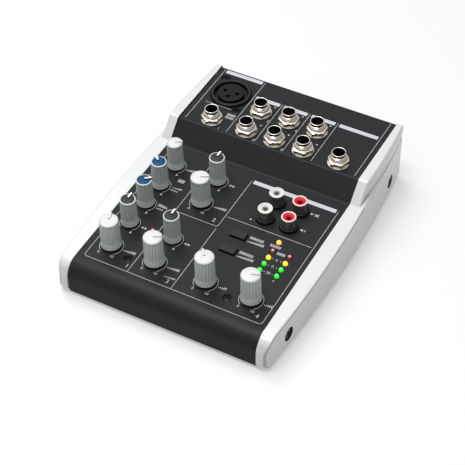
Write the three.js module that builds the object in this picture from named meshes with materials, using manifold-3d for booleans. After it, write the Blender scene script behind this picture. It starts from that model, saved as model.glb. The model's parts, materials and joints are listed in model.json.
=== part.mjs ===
// A compact desktop audio mixer: a bent-sheet control panel with a sloping lower deck and a raised
// connector deck, held between two bowed side cheeks. Millimetres, +Z up, +Y towards the back, +X right.
// The origin is under the middle of the case, on the table.
import * as THREE from "three";
import { mergeVertices } from "three/addons/utils/BufferGeometryUtils.js";
import Module from "manifold-3d";

const wasm = await Module();
wasm.setup();

// ---- Driving dimensions: the case, seen from the side (y from the panel's front face, z from the table)

const degrees = Math.PI / 180;
const gap = 0.3; // clearance kept between neighbouring pieces
const sheet = 1.2; // thickness of the panel's steel
const caseDepth = 174.6; // panel, front face to back face
const panelHalfWidth = 57.6;
const panelBottom = 2.4; // lower edge of the panel
const noseHeight = 20.65; // where the lower deck's plane would meet the front face
const noseRadius = 9;
const bendRadius = 1.5; // outside radius of the other bends
const deckTilt = 2.94 * degrees;
const stepFoot = 111.6; // y where the lower deck ends and the step begins
const stepRun = 10.1;
const stepRise = 10.8;
const raisedTilt = 2.14 * degrees;
const stepFootHeight = noseHeight + stepFoot * Math.tan(deckTilt);
const stepTop = stepFoot + stepRun;
const stepTopHeight = stepFootHeight + stepRise;
const backHeight = stepTopHeight + (caseDepth - stepTop) * Math.tan(raisedTilt);

// Side cheeks
const cheekProud = 0.8; // how far the cheeks stand out from the panel's surface
const cheekInner = panelHalfWidth + gap;
const cheekBottom = 2.5;
const cheekBack = caseDepth + cheekProud;
const cheekWall = 2;
const cheekDraft = 0.03; // inward lean of the outer face per millimetre of height, before it fades out
const bowHalfWidth = 68.2; // widest half width of the outer face, at the table
const bowCentre = 72; // y of the widest place
const bowRadius = 820;
const ledgeWidth = 2.35; // how much narrower a cheek's raised part starts, at the foot of the step
const ledgeLeft = 0.25; // what is left of that at the back
const frontCorner = 4; // plan corners of the outer face
const backCorner = 1.5;
const lowerCorners = [3, 1.5]; // bottom corners of the side view, front and back
const wellRadius = 4.15; // screw wells in the outer faces
const wellDepth = 2.6;
const wellBoss = 1.5; // wall left round a well
const cheekScrewSize = { shank: 1.35, hole: 1.7, head: 3.4, headHeight: 1.9, tip: 3 };
const wellPlaces = [
  { name: "front", y: 21, z: 11 },
  { name: "rear", y: 155.6, z: 12 },
];

// Bottom pan, a tray inside the panel
const panClearance = 0.4;
const panSheet = 1;
const panBottom = 2.6;
const lipTop = 9; // top of its front and back lips

// Lower deck: x from the middle, v along the deck from the front face
const columnOne = -44.3;
const columnTwo = -16.9;
const columnThree = 14.5;
const columnFour = 41.9;
const frontRow = 24.2;
const largeKnob = { skirt: 5.95, waist: 5.6, top: 5.35, bottom: 1.7, height: 20.2 };
const smallKnob = { skirt: 5.1, waist: 4.75, top: 4.5, bottom: 1.1, height: 19 };
const knobs = [
  { name: "gain", x: columnOne, v: 94.8, size: smallKnob, pointer: 60 },
  { name: "high", x: columnOne, v: 77.2, size: smallKnob, pointer: -60 },
  { name: "low", x: columnOne, v: 60.8, size: smallKnob, pointer: 52 },
  { name: "pan", x: columnOne, v: 43.7, size: smallKnob, pointer: 0 },
  { name: "level_1", x: columnOne, v: frontRow, size: largeKnob, pointer: -15 },
  { name: "balance_2_3", x: columnTwo, v: 94.8, size: smallKnob, pointer: 0 },
  { name: "level_2_3", x: columnTwo, v: 75.5, size: largeKnob, pointer: 60 },
  { name: "balance_4_5", x: columnTwo, v: 43.7, size: smallKnob, pointer: 0 },
  { name: "level_4_5", x: columnTwo, v: frontRow, size: largeKnob, pointer: 60 },
  { name: "phones_level", x: columnThree, v: frontRow, size: largeKnob, pointer: -38 },
  { name: "main_level", x: columnFour, v: frontRow, size: largeKnob, pointer: 67 },
];
const skirtEdge = 0.8; // height of a knob's upright skirt edge
const skirtHeight = 3.6; // height of the flared skirt
const knobChamfer = 1;
// The pointer ridge on a knob: how far it stands up, and where it starts and stops along the radius
const pointer = { halfWidth: 0.8, rise: 0.9, start: -0.6, setBack: 0.9 };
const shaftRadius = 3;
const shaftFlat = 1.5; // depth of the shaft's flat
const shaftLength = 17.5;
const shaftFoot = -5; // height of the shaft's lower end, from the deck's surface

const buttons = [
  { name: "phones_switch", v: 62.5 },
  { name: "main_switch", v: 50.2 },
];
const buttonX = 13.95;
const buttonSize = { width: 9.1, length: 4.9, top: 1.4, foot: -4, flange: 0.9 };
const buttonTravel = 1.8;

const ledColumns = [35.9, 46.1];
const ledRow = 45.2;
const ledPitch = 5.1;
const ledPlaces = [
  { x: ledColumns[0], v: 67.8 },
  { x: -30, v: 44.1 },
];
const ledSize = { radius: 1.2, hole: 1.5, top: -0.4 };
for (const x of ledColumns) {
  for (let step = 0; step < 4; step += 1) ledPlaces.push({ x, v: ledRow + step * ledPitch });
}

const rcaColumns = [20.95, 35.4];
const rcaRows = [80.5, 94.25];
const rcaSize = { ring: 4.15, boss: 5.1, bossTop: 1.8, hole: 1.6, floor: 2, height: 8.6, border: 7 };

const panelScrews = [
  { name: "left", x: -31.3 },
  { name: "right", x: 29.9 },
];
const panelScrewRow = 20.1;
const panelScrewSize = { shank: 1.35, bore: 1.7, head: 2.2, rise: -0.2, hole: 2.5, standoff: 2.6 };

// Main board, under the lower deck
const boardThickness = 1.6;
const boardHalfWidth = 54;
const mainBoardTop = -9.4;
const mainBoard = { front: 14, back: 107 };
const rooting = 0.2; // how far a soldered body reaches into its board
const potBody = { halfWidth: 4.8, halfLength: 5.7, top: -2.4 };
const switchBody = { halfWidth: 4, halfLength: 3.5 };

// Raised deck: x from the middle, s along the deck from the top of the step
const jackPitch = 18.2;
const jackMiddle = 1.1; // x of the middle pair
const jackFrontRow = 7.35;
const jackBackRow = jackFrontRow + jackPitch;
const jacks = [
  { name: "line_1_jack", x: -39.8, s: jackFrontRow },
  { name: "line_2_jack", x: jackMiddle - jackPitch, s: jackBackRow },
  { name: "line_3_jack", x: jackMiddle - jackPitch, s: jackFrontRow },
  { name: "line_4_jack", x: jackMiddle, s: jackBackRow },
  { name: "line_5_jack", x: jackMiddle, s: jackFrontRow },
  { name: "left_output_jack", x: jackMiddle + jackPitch, s: jackBackRow },
  { name: "right_output_jack", x: jackMiddle + jackPitch, s: jackFrontRow },
  { name: "phones_jack", x: 41.7, s: jackFrontRow },
];
const jackSize = { barrel: 4.1, bore: 3.45, floor: 2.5, top: 8.2, body: 13.4, bodyTop: -2.2, foot: -24.3 };
const nutSize = { acrossCorners: 13, thickness: 2.6, seat: 0.7 };
const xlr = { x: -40.5, s: 32.3, collar: 12, groove: 10.15, insert: 8, top: 1.8, floor: -11, foot: -24.3 };
const xlrPins = { circle: 4, radius: 1.3, angles: [177, 3, 270] };
const xlrFlange = { halfWidth: 13, halfLength: 15.5, thickness: 3 };
const xlrScrew = { x: 9.9, s: 12, hole: 1.6 };
const jackBoardTop = -24.6;
const jackBoard = { front: 2, back: 49.5 };
const usb = { x: 10, width: 12, height: 11, length: 16.5 };
const usbMouth = { halfWidth: 4.2, halfHeight: 3.9, depth: 9 };
const usbTongue = { halfWidth: 2.8, halfHeight: 1.6, length: 7.5 };
const powerInlet = { x: 32.5, width: 9, height: 11, length: 14.5 };
const powerBore = { radius: 3.2, depth: 10, pin: 1, pinBack: 1.5 };
const rearSocketFace = 52.5; // s of the rear sockets' faces
const rearSocketBottom = -24.2;

// Feet
const footRadius = 6;
const footHeight = 2.3;
const footBevel = 0.5;
const footX = 47;
const footRows = [
  { name: "front", y: 13 },
  { name: "rear", y: 161 },
];

// ---- Materials

const materialOf = (color, roughness, metalness) =>
  new THREE.MeshStandardMaterial({ color, roughness, metalness });
const darkPaint = materialOf(0x3a3a3d, 0.55, 0.2);
const panSteel = materialOf(0x2c2c2e, 0.5, 0.5);
const silverPlastic = materialOf(0xd4d7d6, 0.4, 0.1);
const greyPlastic = materialOf(0x787d7c, 0.5, 0);
const blackPlastic = materialOf(0x1a1a1c, 0.45, 0);
const steel = materialOf(0xb9bbbd, 0.3, 1);
const nickel = materialOf(0xcfc4b4, 0.22, 1);
const circuitBoard = materialOf(0x1f5a35, 0.5, 0);
const rubber = materialOf(0x141414, 0.9, 0);

// ---- Solids

// A closed geometry as a manifold solid; collapsed triangles at a lathe's poles are dropped.
function solid(geometry) {
  const plain = new THREE.BufferGeometry();
  plain.setAttribute("position", geometry.getAttribute("position"));
  if (geometry.index) plain.setIndex(geometry.index);
  const merged = mergeVertices(plain, 1e-4);
  const corners = merged.index.array;
  const triangles = [];
  for (let i = 0; i < corners.length; i += 3) {
    const [a, b, c] = [corners[i], corners[i + 1], corners[i + 2]];
    if (a !== b && b !== c && c !== a) triangles.push(a, b, c);
  }
  return new wasm.Manifold(
    new wasm.Mesh({
      numProp: 3,
      vertProperties: merged.getAttribute("position").array,
      triVerts: new Uint32Array(triangles),
    }),
  );
}

function meshOf(name, made, material) {
  const { vertProperties, triVerts } = made.getMesh();
  const geometry = new THREE.BufferGeometry();
  geometry.setAttribute("position", new THREE.BufferAttribute(vertProperties, 3));
  geometry.setIndex(new THREE.BufferAttribute(triVerts, 1));
  geometry.computeVertexNormals();
  const mesh = new THREE.Mesh(geometry, material);
  mesh.name = name;
  return mesh;
}

const union = (first, ...others) => others.reduce((sum, other) => sum.add(other), first);
const without = (first, ...others) => others.reduce((rest, other) => rest.subtract(other), first);

function block([x0, y0, z0], [x1, y1, z1]) {
  const geometry = new THREE.BoxGeometry(x1 - x0, y1 - y0, z1 - z0);
  return solid(geometry.translate((x0 + x1) / 2, (y0 + y1) / 2, (z0 + z1) / 2));
}

// An upright round bar; sides is its number of facets.
function rod(x, y, radius, z0, z1, sides) {
  const geometry = new THREE.CylinderGeometry(radius, radius, z1 - z0, sides);
  return solid(geometry.rotateX(Math.PI / 2).translate(x, y, (z0 + z1) / 2));
}

// A round bar along x.
function crossRod(y, z, radius, x0, x1, sides) {
  const geometry = new THREE.CylinderGeometry(radius, radius, x1 - x0, sides);
  return solid(geometry.rotateZ(Math.PI / 2).translate((x0 + x1) / 2, y, z));
}

// A round bar along y.
function lengthRod(x, z, radius, y0, y1, sides) {
  const geometry = new THREE.CylinderGeometry(radius, radius, y1 - y0, sides);
  return solid(geometry.translate(x, (y0 + y1) / 2, z));
}

// A turned solid about z; the profile runs from the axis at the bottom, up the outside, to the axis.
function turned(profile, sides) {
  const points = profile.map(([radius, height]) => new THREE.Vector2(radius, height));
  return solid(new THREE.LatheGeometry(points, sides).rotateX(Math.PI / 2));
}

// ---- Side views of the case

// Moves a chain of corners inwards, to its right-hand side, with every bend's radius following.
function offsetChain(corners, inset) {
  const point = ({ y, z }) => new THREE.Vector2(y, z);
  return corners.map((corner, i) => {
    const next = corners[i + 1];
    const last = corners[i - 1];
    const after = next && point(next).sub(point(corner)).normalize();
    const before = last ? point(corner).sub(point(last)).normalize() : after;
    const out = after || before;
    const normals = new THREE.Vector2(before.y + out.y, -before.x - out.x);
    const move = normals.multiplyScalar(inset / (1 + before.dot(out)));
    const turnsLeft = before.cross(out) > 0;
    const radius = corner.radius && corner.radius + (turnsLeft ? inset : -inset);
    return { y: corner.y + move.x, z: corner.z + move.y, radius };
  });
}

// A closed shape through these corners, each one rounded to its own radius.
function roundedShape(corners) {
  const shape = new THREE.Shape();
  corners.forEach((corner, i) => {
    const here = new THREE.Vector2(corner.y, corner.z);
    const last = corners[(i + corners.length - 1) % corners.length];
    const next = corners[(i + 1) % corners.length];
    const before = here.clone().sub(new THREE.Vector2(last.y, last.z)).normalize();
    const after = new THREE.Vector2(next.y, next.z).sub(here).normalize();
    const turn = Math.atan2(before.cross(after), before.dot(after));
    const radius = corner.radius || 0;
    const start = here.clone().addScaledVector(before, -radius * Math.tan(Math.abs(turn) / 2));
    if (i === 0) shape.moveTo(start.x, start.y);
    else shape.lineTo(start.x, start.y);
    if (!radius) return;
    const side = Math.sign(turn);
    const centre = start.clone().add(new THREE.Vector2(-before.y, before.x).multiplyScalar(side * radius));
    const from = Math.atan2(start.y - centre.y, start.x - centre.x);
    shape.absarc(centre.x, centre.y, radius, from, from + turn, turn < 0);
  });
  return shape;
}

const outerChain = [
  { y: 0, z: panelBottom },
  { y: 0, z: noseHeight, radius: noseRadius },
  { y: stepFoot, z: stepFootHeight, radius: bendRadius },
  { y: stepTop, z: stepTopHeight, radius: bendRadius },
  { y: caseDepth, z: backHeight, radius: bendRadius },
  { y: caseDepth, z: panelBottom },
];

// The whole case's side view, this far inside the panel's surface and down to this height.
function caseCorners(inset, bottom, bottomRadii = [0, 0]) {
  const chain = offsetChain(outerChain, inset);
  Object.assign(chain[0], { z: bottom, radius: bottomRadii[0] });
  Object.assign(chain[chain.length - 1], { z: bottom, radius: bottomRadii[1] });
  return chain;
}

const sideView = new THREE.Matrix4().makeBasis(
  new THREE.Vector3(0, 1, 0),
  new THREE.Vector3(0, 0, 1),
  new THREE.Vector3(1, 0, 0),
);

// A slab with this side view, from one x to another.
function sideSlab(shape, x0, x1, curveSegments = 6) {
  const options = { depth: x1 - x0, bevelEnabled: false, curveSegments };
  return solid(new THREE.ExtrudeGeometry(shape, options).applyMatrix4(sideView).translate(x0, 0, 0));
}

// An upright slab with this plan, from one height to another.
function planSlab(shape, z0, z1) {
  const geometry = new THREE.ExtrudeGeometry(shape, { depth: z1 - z0, bevelEnabled: false });
  return geometry.translate(0, 0, z0);
}

// ---- The two decks' own frames: x across, y along the deck, z out of it

const deckPlace = new THREE.Matrix4().makeRotationX(deckTilt).setPosition(0, 0, noseHeight);
const raisedPlace = new THREE.Matrix4().makeRotationX(raisedTilt).setPosition(0, stepTop, stepTopHeight);
const onDeck = (made) => made.transform(deckPlace.elements);
const onRaised = (made) => made.transform(raisedPlace.elements);

// ---- Case

function topPanel() {
  const inner = offsetChain(outerChain, sheet).reverse();
  const blank = sideSlab(roundedShape([...outerChain, ...inner]), -panelHalfWidth, panelHalfWidth, 8);
  const low = -3 * sheet;
  const high = 2 * sheet;
  const potHole = shaftRadius + 2 * gap;
  const deckHoles = [
    ...knobs.map(({ x, v }) => rod(x, v, potHole, low, high, 12)),
    ...ledPlaces.map(({ x, v }) => rod(x, v, ledSize.hole, low, high, 8)),
    ...panelScrews.map(({ x }) => rod(x, panelScrewRow, panelScrewSize.hole, low, high, 12)),
    ...rcaColumns.flatMap((x) => rcaRows.map((v) => rod(x, v, rcaSize.boss + gap, low, high, 20))),
    ...buttons.map(({ v }) => {
      const halfWidth = buttonSize.width / 2 + gap;
      const halfLength = buttonSize.length / 2 + gap;
      return block([buttonX - halfWidth, v - halfLength, low], [buttonX + halfWidth, v + halfLength, high]);
    }),
  ];
  const raisedHoles = [
    ...jacks.map(({ x, s }) => rod(x, s, jackSize.barrel + gap, low, high, 16)),
    rod(xlr.x, xlr.s, xlr.collar + gap, low, high, 32),
    ...[-1, 1].map((side) =>
      rod(xlr.x + side * xlrScrew.x, xlr.s - side * xlrScrew.s, xlrScrew.hole, low, high, 8),
    ),
  ];
  return without(blank, ...deckHoles.map(onDeck), ...raisedHoles.map(onRaised), ...rearCutOuts());
}

// Openings in the back face for the two rear sockets.
function rearCutOuts() {
  return [usb, powerInlet].map(({ x, width, height }) => {
    const margin = 2 * gap;
    const middle = new THREE.Vector3(x, rearSocketFace, rearSocketBottom + height / 2);
    middle.applyMatrix4(raisedPlace);
    return block(
      [x - width / 2 - margin, caseDepth - 3 * sheet, middle.z - height / 2 - margin],
      [x + width / 2 + margin, caseDepth + sheet, middle.z + height / 2 + margin],
    );
  });
}

function bottomPan() {
  const outside = caseCorners(sheet + panClearance, panBottom);
  const inside = caseCorners(sheet + panClearance + panSheet, panBottom + panSheet);
  const innerHalfWidth = panelHalfWidth - panSheet;
  const highest = backHeight + noseHeight;
  const across = 2 * panelHalfWidth;
  return without(
    sideSlab(roundedShape(outside), -panelHalfWidth, panelHalfWidth),
    sideSlab(roundedShape(inside), -innerHalfWidth, innerHalfWidth),
    block([-innerHalfWidth, -noseRadius, lipTop], [innerHalfWidth, 2 * caseDepth, highest]),
    ...wellPlaces.map(({ y, z }) => crossRod(y, z, cheekScrewSize.hole, -across, across, 10)),
  );
}

// What is left of the raised part's length behind this place: 1 up to the step, 0 at the back.
const shareLeft = (y) => THREE.MathUtils.clamp((cheekBack - y) / (cheekBack - stepFoot), 0, 1);

// Half width of a cheek's bowed outer face, which leans in with height less and less towards the back.
function bow(y, z = 0) {
  return bowHalfWidth - (y - bowCentre) ** 2 / (2 * bowRadius) - cheekDraft * shareLeft(y) * z;
}

// Half width of a cheek's raised part, which has an upright outer face.
const raisedFace = (y) => bow(y, stepTopHeight) - ledgeLeft - ledgeWidth * shareLeft(y) ** 1.5;

// Half width at the bottom of a screw well.
const wellFloor = ({ y, z }) => bow(y, z) - wellDepth;

// A cheek's plan as an upright slab, this far inside its outer face, leaning in with height.
function cheekPlan(inset) {
  const front = -cheekProud + inset;
  const back = cheekBack - inset;
  const steps = 12;
  const edge = (y) => bow(y) - inset;
  const plan = new THREE.Shape();
  plan.moveTo(0, front);
  plan.lineTo(edge(front) - frontCorner, front);
  plan.quadraticCurveTo(edge(front), front, edge(front + frontCorner), front + frontCorner);
  for (let i = 1; i <= steps; i += 1) {
    const y = THREE.MathUtils.lerp(front + frontCorner, back - backCorner, i / steps);
    plan.lineTo(edge(y), y);
  }
  plan.quadraticCurveTo(edge(back), back, edge(back) - backCorner, back);
  plan.lineTo(0, back);
  const geometry = planSlab(plan, 0, backHeight + noseHeight);
  const corners = geometry.getAttribute("position");
  for (let i = 0; i < corners.count; i += 1) {
    const lean = bow(corners.getY(i)) - bow(corners.getY(i), corners.getZ(i));
    corners.setX(i, corners.getX(i) - lean);
  }
  return solid(geometry);
}

// What is taken off a cheek beside the raised deck, above a ledge that carries on the lower deck's line.
function ledgeCut(margin) {
  const front = stepFoot - stepRun;
  const back = cheekBack + stepRun;
  const outside = 2 * bowHalfWidth;
  const steps = 10;
  const plan = new THREE.Shape();
  plan.moveTo(outside, front);
  plan.lineTo(outside, back);
  for (let i = 0; i <= steps; i += 1) {
    const y = THREE.MathUtils.lerp(back, front, i / steps);
    plan.lineTo(raisedFace(y) - margin, y);
  }
  const ledge = (y) => noseHeight + cheekProud - margin + y * Math.tan(deckTilt);
  const above = new THREE.Shape();
  above.moveTo(front, ledge(front));
  above.lineTo(back, ledge(back));
  above.lineTo(back, 2 * backHeight);
  above.lineTo(front, 2 * backHeight);
  return solid(planSlab(plan, 0, 2 * backHeight)).intersect(sideSlab(above, 0, outside));
}

function rightCheek() {
  const outside = 2 * bowHalfWidth;
  const skin = caseCorners(-cheekProud, cheekBottom, lowerCorners);
  const body = sideSlab(roundedShape(skin), cheekInner, outside, 8)
    .intersect(cheekPlan(0))
    .subtract(ledgeCut(0));
  const hollow = caseCorners(cheekWall, cheekBottom + cheekWall);
  const pocket = sideSlab(roundedShape(hollow), cheekInner - gap, outside)
    .intersect(cheekPlan(cheekWall))
    .subtract(ledgeCut(cheekWall));
  const bosses = wellPlaces.map(({ y, z }) =>
    crossRod(y, z, wellRadius + wellBoss, cheekInner, outside, 16).intersect(body),
  );
  const wells = wellPlaces.flatMap(({ y, z }) => [
    crossRod(y, z, wellRadius, wellFloor({ y, z }), outside, 20),
    crossRod(y, z, cheekScrewSize.hole, 0, outside, 10),
  ]);
  return without(union(body.subtract(pocket), ...bosses), ...wells);
}

// A screw along x, its head out at the right, for the bottom of a cheek's well.
function cheekScrew({ y, z }) {
  const { shank, head, headHeight, tip } = cheekScrewSize;
  const seat = wellFloor({ y, z }) + gap;
  return union(
    crossRod(y, z, shank, panelHalfWidth - tip, seat + headHeight / 2, 8),
    crossRod(y, z, head, seat, seat + headHeight, 12),
  );
}

function foot() {
  const profile = [
    [0, 0],
    [footRadius - footBevel, 0],
    [footRadius, footBevel],
    [footRadius, footHeight],
    [0, footHeight],
  ];
  return turned(profile, 20);
}

// ---- Lower deck

// A knob with its pointer ridge towards the back; it has a blind bore for its shaft.
function knob({ skirt, waist, top, bottom, height }) {
  const bore = shaftRadius + gap;
  const boreTop = shaftFoot + shaftLength + gap;
  const body = turned(
    [
      [0, boreTop],
      [bore, boreTop],
      [bore, bottom],
      [skirt, bottom],
      [skirt, bottom + skirtEdge],
      [waist, bottom + skirtHeight],
      [top, height - knobChamfer],
      [top - knobChamfer, height],
      [0, height],
    ],
    20,
  );
  const { halfWidth, rise, start, setBack } = pointer;
  const ridge = block([-halfWidth, start, height - knobChamfer], [halfWidth, top - setBack, height + rise]);
  return body.add(ridge);
}

// A potentiometer's shaft with its flat.
function potShaft() {
  const top = shaftFoot + shaftLength;
  const flat = shaftRadius - shaftFlat;
  return without(
    rod(0, 0, shaftRadius, shaftFoot, top, 14),
    block([-shaftRadius, flat, 2], [shaftRadius, 2 * shaftRadius, top + 1]),
  );
}

function button({ width, length, top, foot: bottom, flange }) {
  return union(
    block([-width / 2, -length / 2, bottom], [width / 2, length / 2, top]),
    block(
      [-width / 2 - flange, -length / 2 - flange, bottom],
      [width / 2 + flange, length / 2 + flange, -sheet - 2 * gap],
    ),
  );
}

// Four RCA sockets on one housing.
function rcaBlock() {
  const [left, right] = rcaColumns;
  const [front, back] = rcaRows;
  const { ring, boss, bossTop, hole, floor, height, border } = rcaSize;
  const housingTop = -sheet - gap;
  const rooted = housingTop - rooting;
  const housing = block(
    [left - border, front - border, mainBoardTop + gap],
    [right + border, back + border, housingTop],
  );
  const places = rcaColumns.flatMap((x) => rcaRows.map((v) => [x, v]));
  const barrels = places.flatMap(([x, v]) => [
    rod(x, v, boss, rooted, bossTop, 20),
    rod(x, v, ring, rooted, height, 20),
  ]);
  const holes = places.map(([x, v]) => rod(x, v, hole, mainBoardTop + floor, 2 * height, 10));
  return without(union(housing, ...barrels), ...holes);
}

// The main circuit board with all that is soldered to it.
function mainBoardSolid() {
  const { front, back } = mainBoard;
  const low = mainBoardTop - boardThickness;
  const rooted = mainBoardTop - rooting;
  const { standoff, bore } = panelScrewSize;
  const board = block([-boardHalfWidth, front, low], [boardHalfWidth, back, mainBoardTop]);
  const around = (x, v, { halfWidth, halfLength }, top) =>
    block([x - halfWidth, v - halfLength, rooted], [x + halfWidth, v + halfLength, top]);
  const switchTop = buttonSize.foot - buttonTravel - 2 * gap;
  const pots = knobs.map(({ x, v }) => around(x, v, potBody, potBody.top));
  const switches = buttons.map(({ v }) => around(buttonX, v, switchBody, switchTop));
  const leds = ledPlaces.map(({ x, v }) => rod(x, v, ledSize.radius, rooted, ledSize.top, 8));
  const standoffs = panelScrews.map(({ x }) => rod(x, panelScrewRow, standoff, rooted, -sheet - gap, 12));
  const shaftHoles = knobs.map(({ x, v }) => rod(x, v, shaftRadius + gap, shaftFoot - gap, 0, 12));
  const screwHoles = panelScrews.map(({ x }) => rod(x, panelScrewRow, bore, low - rooting, 0, 8));
  return without(union(board, ...pots, ...switches, ...leds, ...standoffs), ...shaftHoles, ...screwHoles);
}

// A recessed screw: its head lies in the panel's hole, on the standoff.
function panelScrew() {
  const { shank, head, rise } = panelScrewSize;
  return union(rod(0, 0, shank, mainBoardTop + rooting, rise, 8), rod(0, 0, head, -sheet, rise, 12));
}

// ---- Raised deck

function jackSocket() {
  const { barrel, bore, floor, top, body, bodyTop, foot: bottom } = jackSize;
  const half = body / 2;
  const housing = block([-half, -half, bottom], [half, half, bodyTop]);
  return without(
    union(housing, rod(0, 0, barrel, bodyTop - rooting, top, 20)),
    rod(0, 0, bore, bottom + floor, 2 * top, 16),
  );
}

// A hexagonal nut with a flat towards the front.
function jackNut() {
  const { acrossCorners, thickness, seat } = nutSize;
  return without(
    rod(0, 0, acrossCorners / 2, seat, seat + thickness, 6),
    rod(0, 0, jackSize.barrel + gap, 0, seat + 2 * thickness, 20),
  );
}

function xlrSocket() {
  const { collar, groove, insert, top, floor, foot: bottom } = xlr;
  const { halfWidth, halfLength, thickness } = xlrFlange;
  const flangeTop = -sheet - gap;
  const flange = block([-halfWidth, -halfLength, flangeTop - thickness], [halfWidth, halfLength, flangeTop]);
  const shell = union(flange, rod(0, 0, collar, bottom, top, 32));
  const ringGroove = rod(0, 0, groove, floor, 2 * top, 28);
  const insertSolid = rod(0, 0, insert, floor - rooting, top, 24);
  const pinHoles = xlrPins.angles.map((angle) => {
    const x = xlrPins.circle * Math.cos(angle * degrees);
    const y = xlrPins.circle * Math.sin(angle * degrees);
    return rod(x, y, xlrPins.radius, floor, 2 * top, 8);
  });
  const screwHoles = [-1, 1].map((side) =>
    rod(side * xlrScrew.x, -side * xlrScrew.s, xlrScrew.hole, bottom, top, 8),
  );
  return without(shell.subtract(ringGroove).add(insertSolid), ...pinHoles, ...screwHoles);
}

function jackBoardSolid() {
  const { front, back } = jackBoard;
  return block(
    [-boardHalfWidth, front, jackBoardTop - boardThickness],
    [boardHalfWidth, back, jackBoardTop],
  );
}

// The body of a rear socket, with the height of its middle.
function rearBody({ width, height, length }) {
  const body = block(
    [-width / 2, rearSocketFace - length, rearSocketBottom],
    [width / 2, rearSocketFace, rearSocketBottom + height],
  );
  return { body, middle: rearSocketBottom + height / 2 };
}

// A square USB socket with the contact tongue inside its mouth.
function usbSocket() {
  const { body, middle } = rearBody(usb);
  const bottom = rearSocketFace - usbMouth.depth;
  const mouth = block(
    [-usbMouth.halfWidth, bottom, middle - usbMouth.halfHeight],
    [usbMouth.halfWidth, rearSocketFace + gap, middle + usbMouth.halfHeight],
  );
  const tongue = block(
    [-usbTongue.halfWidth, bottom - gap, middle - usbTongue.halfHeight],
    [usbTongue.halfWidth, bottom + usbTongue.length, middle + usbTongue.halfHeight],
  );
  return body.subtract(mouth).add(tongue);
}

// A round low-voltage inlet with its centre pin.
function powerSocket() {
  const { body, middle } = rearBody(powerInlet);
  const { radius, depth, pin, pinBack } = powerBore;
  const bottom = rearSocketFace - depth;
  const bore = lengthRod(0, middle, radius, bottom, rearSocketFace + gap, 16);
  return body.subtract(bore).add(lengthRod(0, middle, pin, bottom - gap, rearSocketFace - pinBack, 8));
}

// ---- Assembly

const mixer = new THREE.Group();
mixer.position.y = -caseDepth / 2;

const lowerDeck = new THREE.Group();
lowerDeck.applyMatrix4(deckPlace);
const raisedDeck = new THREE.Group();
raisedDeck.applyMatrix4(raisedPlace);
mixer.add(lowerDeck, raisedDeck);

function place(group, name, made, material, x = 0, y = 0, turn = 0) {
  const mesh = meshOf(name, made, material);
  mesh.position.set(x, y, 0);
  mesh.rotation.z = turn;
  group.add(mesh);
}

place(mixer, "top_panel", topPanel(), darkPaint);
place(mixer, "bottom_pan", bottomPan(), panSteel);
const cheek = rightCheek();
place(mixer, "right_cheek", cheek, silverPlastic);
place(mixer, "left_cheek", cheek.mirror([1, 0, 0]), silverPlastic);
for (const { name, y, z } of wellPlaces) {
  const screw = cheekScrew({ y, z });
  place(mixer, `right_${name}_cheek_screw`, screw, panSteel);
  place(mixer, `left_${name}_cheek_screw`, screw.mirror([1, 0, 0]), panSteel);
}
for (const { name, y } of footRows) {
  place(mixer, `left_${name}_foot`, foot(), rubber, -footX, y);
  place(mixer, `right_${name}_foot`, foot(), rubber, footX, y);
}

place(lowerDeck, "main_board", mainBoardSolid(), circuitBoard);
for (const { name, x, v, size, pointer: angle } of knobs) {
  const turn = -angle * degrees;
  place(lowerDeck, `${name}_knob`, knob(size), greyPlastic, x, v, turn);
  place(lowerDeck, `${name}_shaft`, potShaft(), steel, x, v, turn);
}
for (const { name, v } of buttons) {
  place(lowerDeck, `${name}_button`, button(buttonSize), blackPlastic, buttonX, v);
}
place(lowerDeck, "rca_block", rcaBlock(), blackPlastic);
for (const { name, x } of panelScrews) {
  place(lowerDeck, `${name}_panel_screw`, panelScrew(), panSteel, x, panelScrewRow);
}

place(raisedDeck, "jack_board", jackBoardSolid(), circuitBoard);
for (const { name, x, s } of jacks) {
  place(raisedDeck, name, jackSocket(), nickel, x, s);
  place(raisedDeck, `${name}_nut`, jackNut(), nickel, x, s);
}
place(raisedDeck, "xlr_socket", xlrSocket(), blackPlastic, xlr.x, xlr.s);
place(raisedDeck, "usb_socket", usbSocket(), steel, usb.x);
place(raisedDeck, "power_inlet", powerSocket(), blackPlastic, powerInlet.x);

export default mixer;
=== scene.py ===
"""Looks for a compact desktop mixing console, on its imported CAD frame. Metres, +Z up, +Y to the back."""
import json
from math import atan2, copysign, cos, inf, pi, radians, sin, sqrt, tan, tau
from types import SimpleNamespace

import bmesh
import bpy
from mathutils import Matrix, Vector
from mathutils.geometry import delaunay_2d_cdt


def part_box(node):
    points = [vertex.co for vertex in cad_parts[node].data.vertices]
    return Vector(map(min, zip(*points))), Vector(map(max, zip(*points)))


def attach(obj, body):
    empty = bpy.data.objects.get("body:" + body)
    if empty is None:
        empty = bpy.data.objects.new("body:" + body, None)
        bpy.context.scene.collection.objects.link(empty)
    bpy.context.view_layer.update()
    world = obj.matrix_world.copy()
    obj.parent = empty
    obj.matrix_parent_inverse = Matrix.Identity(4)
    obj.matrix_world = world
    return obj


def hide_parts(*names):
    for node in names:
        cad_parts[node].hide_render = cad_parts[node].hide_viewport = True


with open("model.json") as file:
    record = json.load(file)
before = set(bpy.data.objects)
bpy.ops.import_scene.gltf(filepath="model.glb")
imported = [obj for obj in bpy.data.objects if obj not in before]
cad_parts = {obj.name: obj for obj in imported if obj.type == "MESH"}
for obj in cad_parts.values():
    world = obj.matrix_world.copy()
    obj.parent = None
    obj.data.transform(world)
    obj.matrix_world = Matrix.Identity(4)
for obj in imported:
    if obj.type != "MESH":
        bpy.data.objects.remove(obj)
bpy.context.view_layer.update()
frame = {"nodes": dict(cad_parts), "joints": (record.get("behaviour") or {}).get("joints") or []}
for packed in bpy.data.materials:
    packed.name = "packed_" + packed.name

# ---- Driving dimensions, from the frame where it has them

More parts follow.
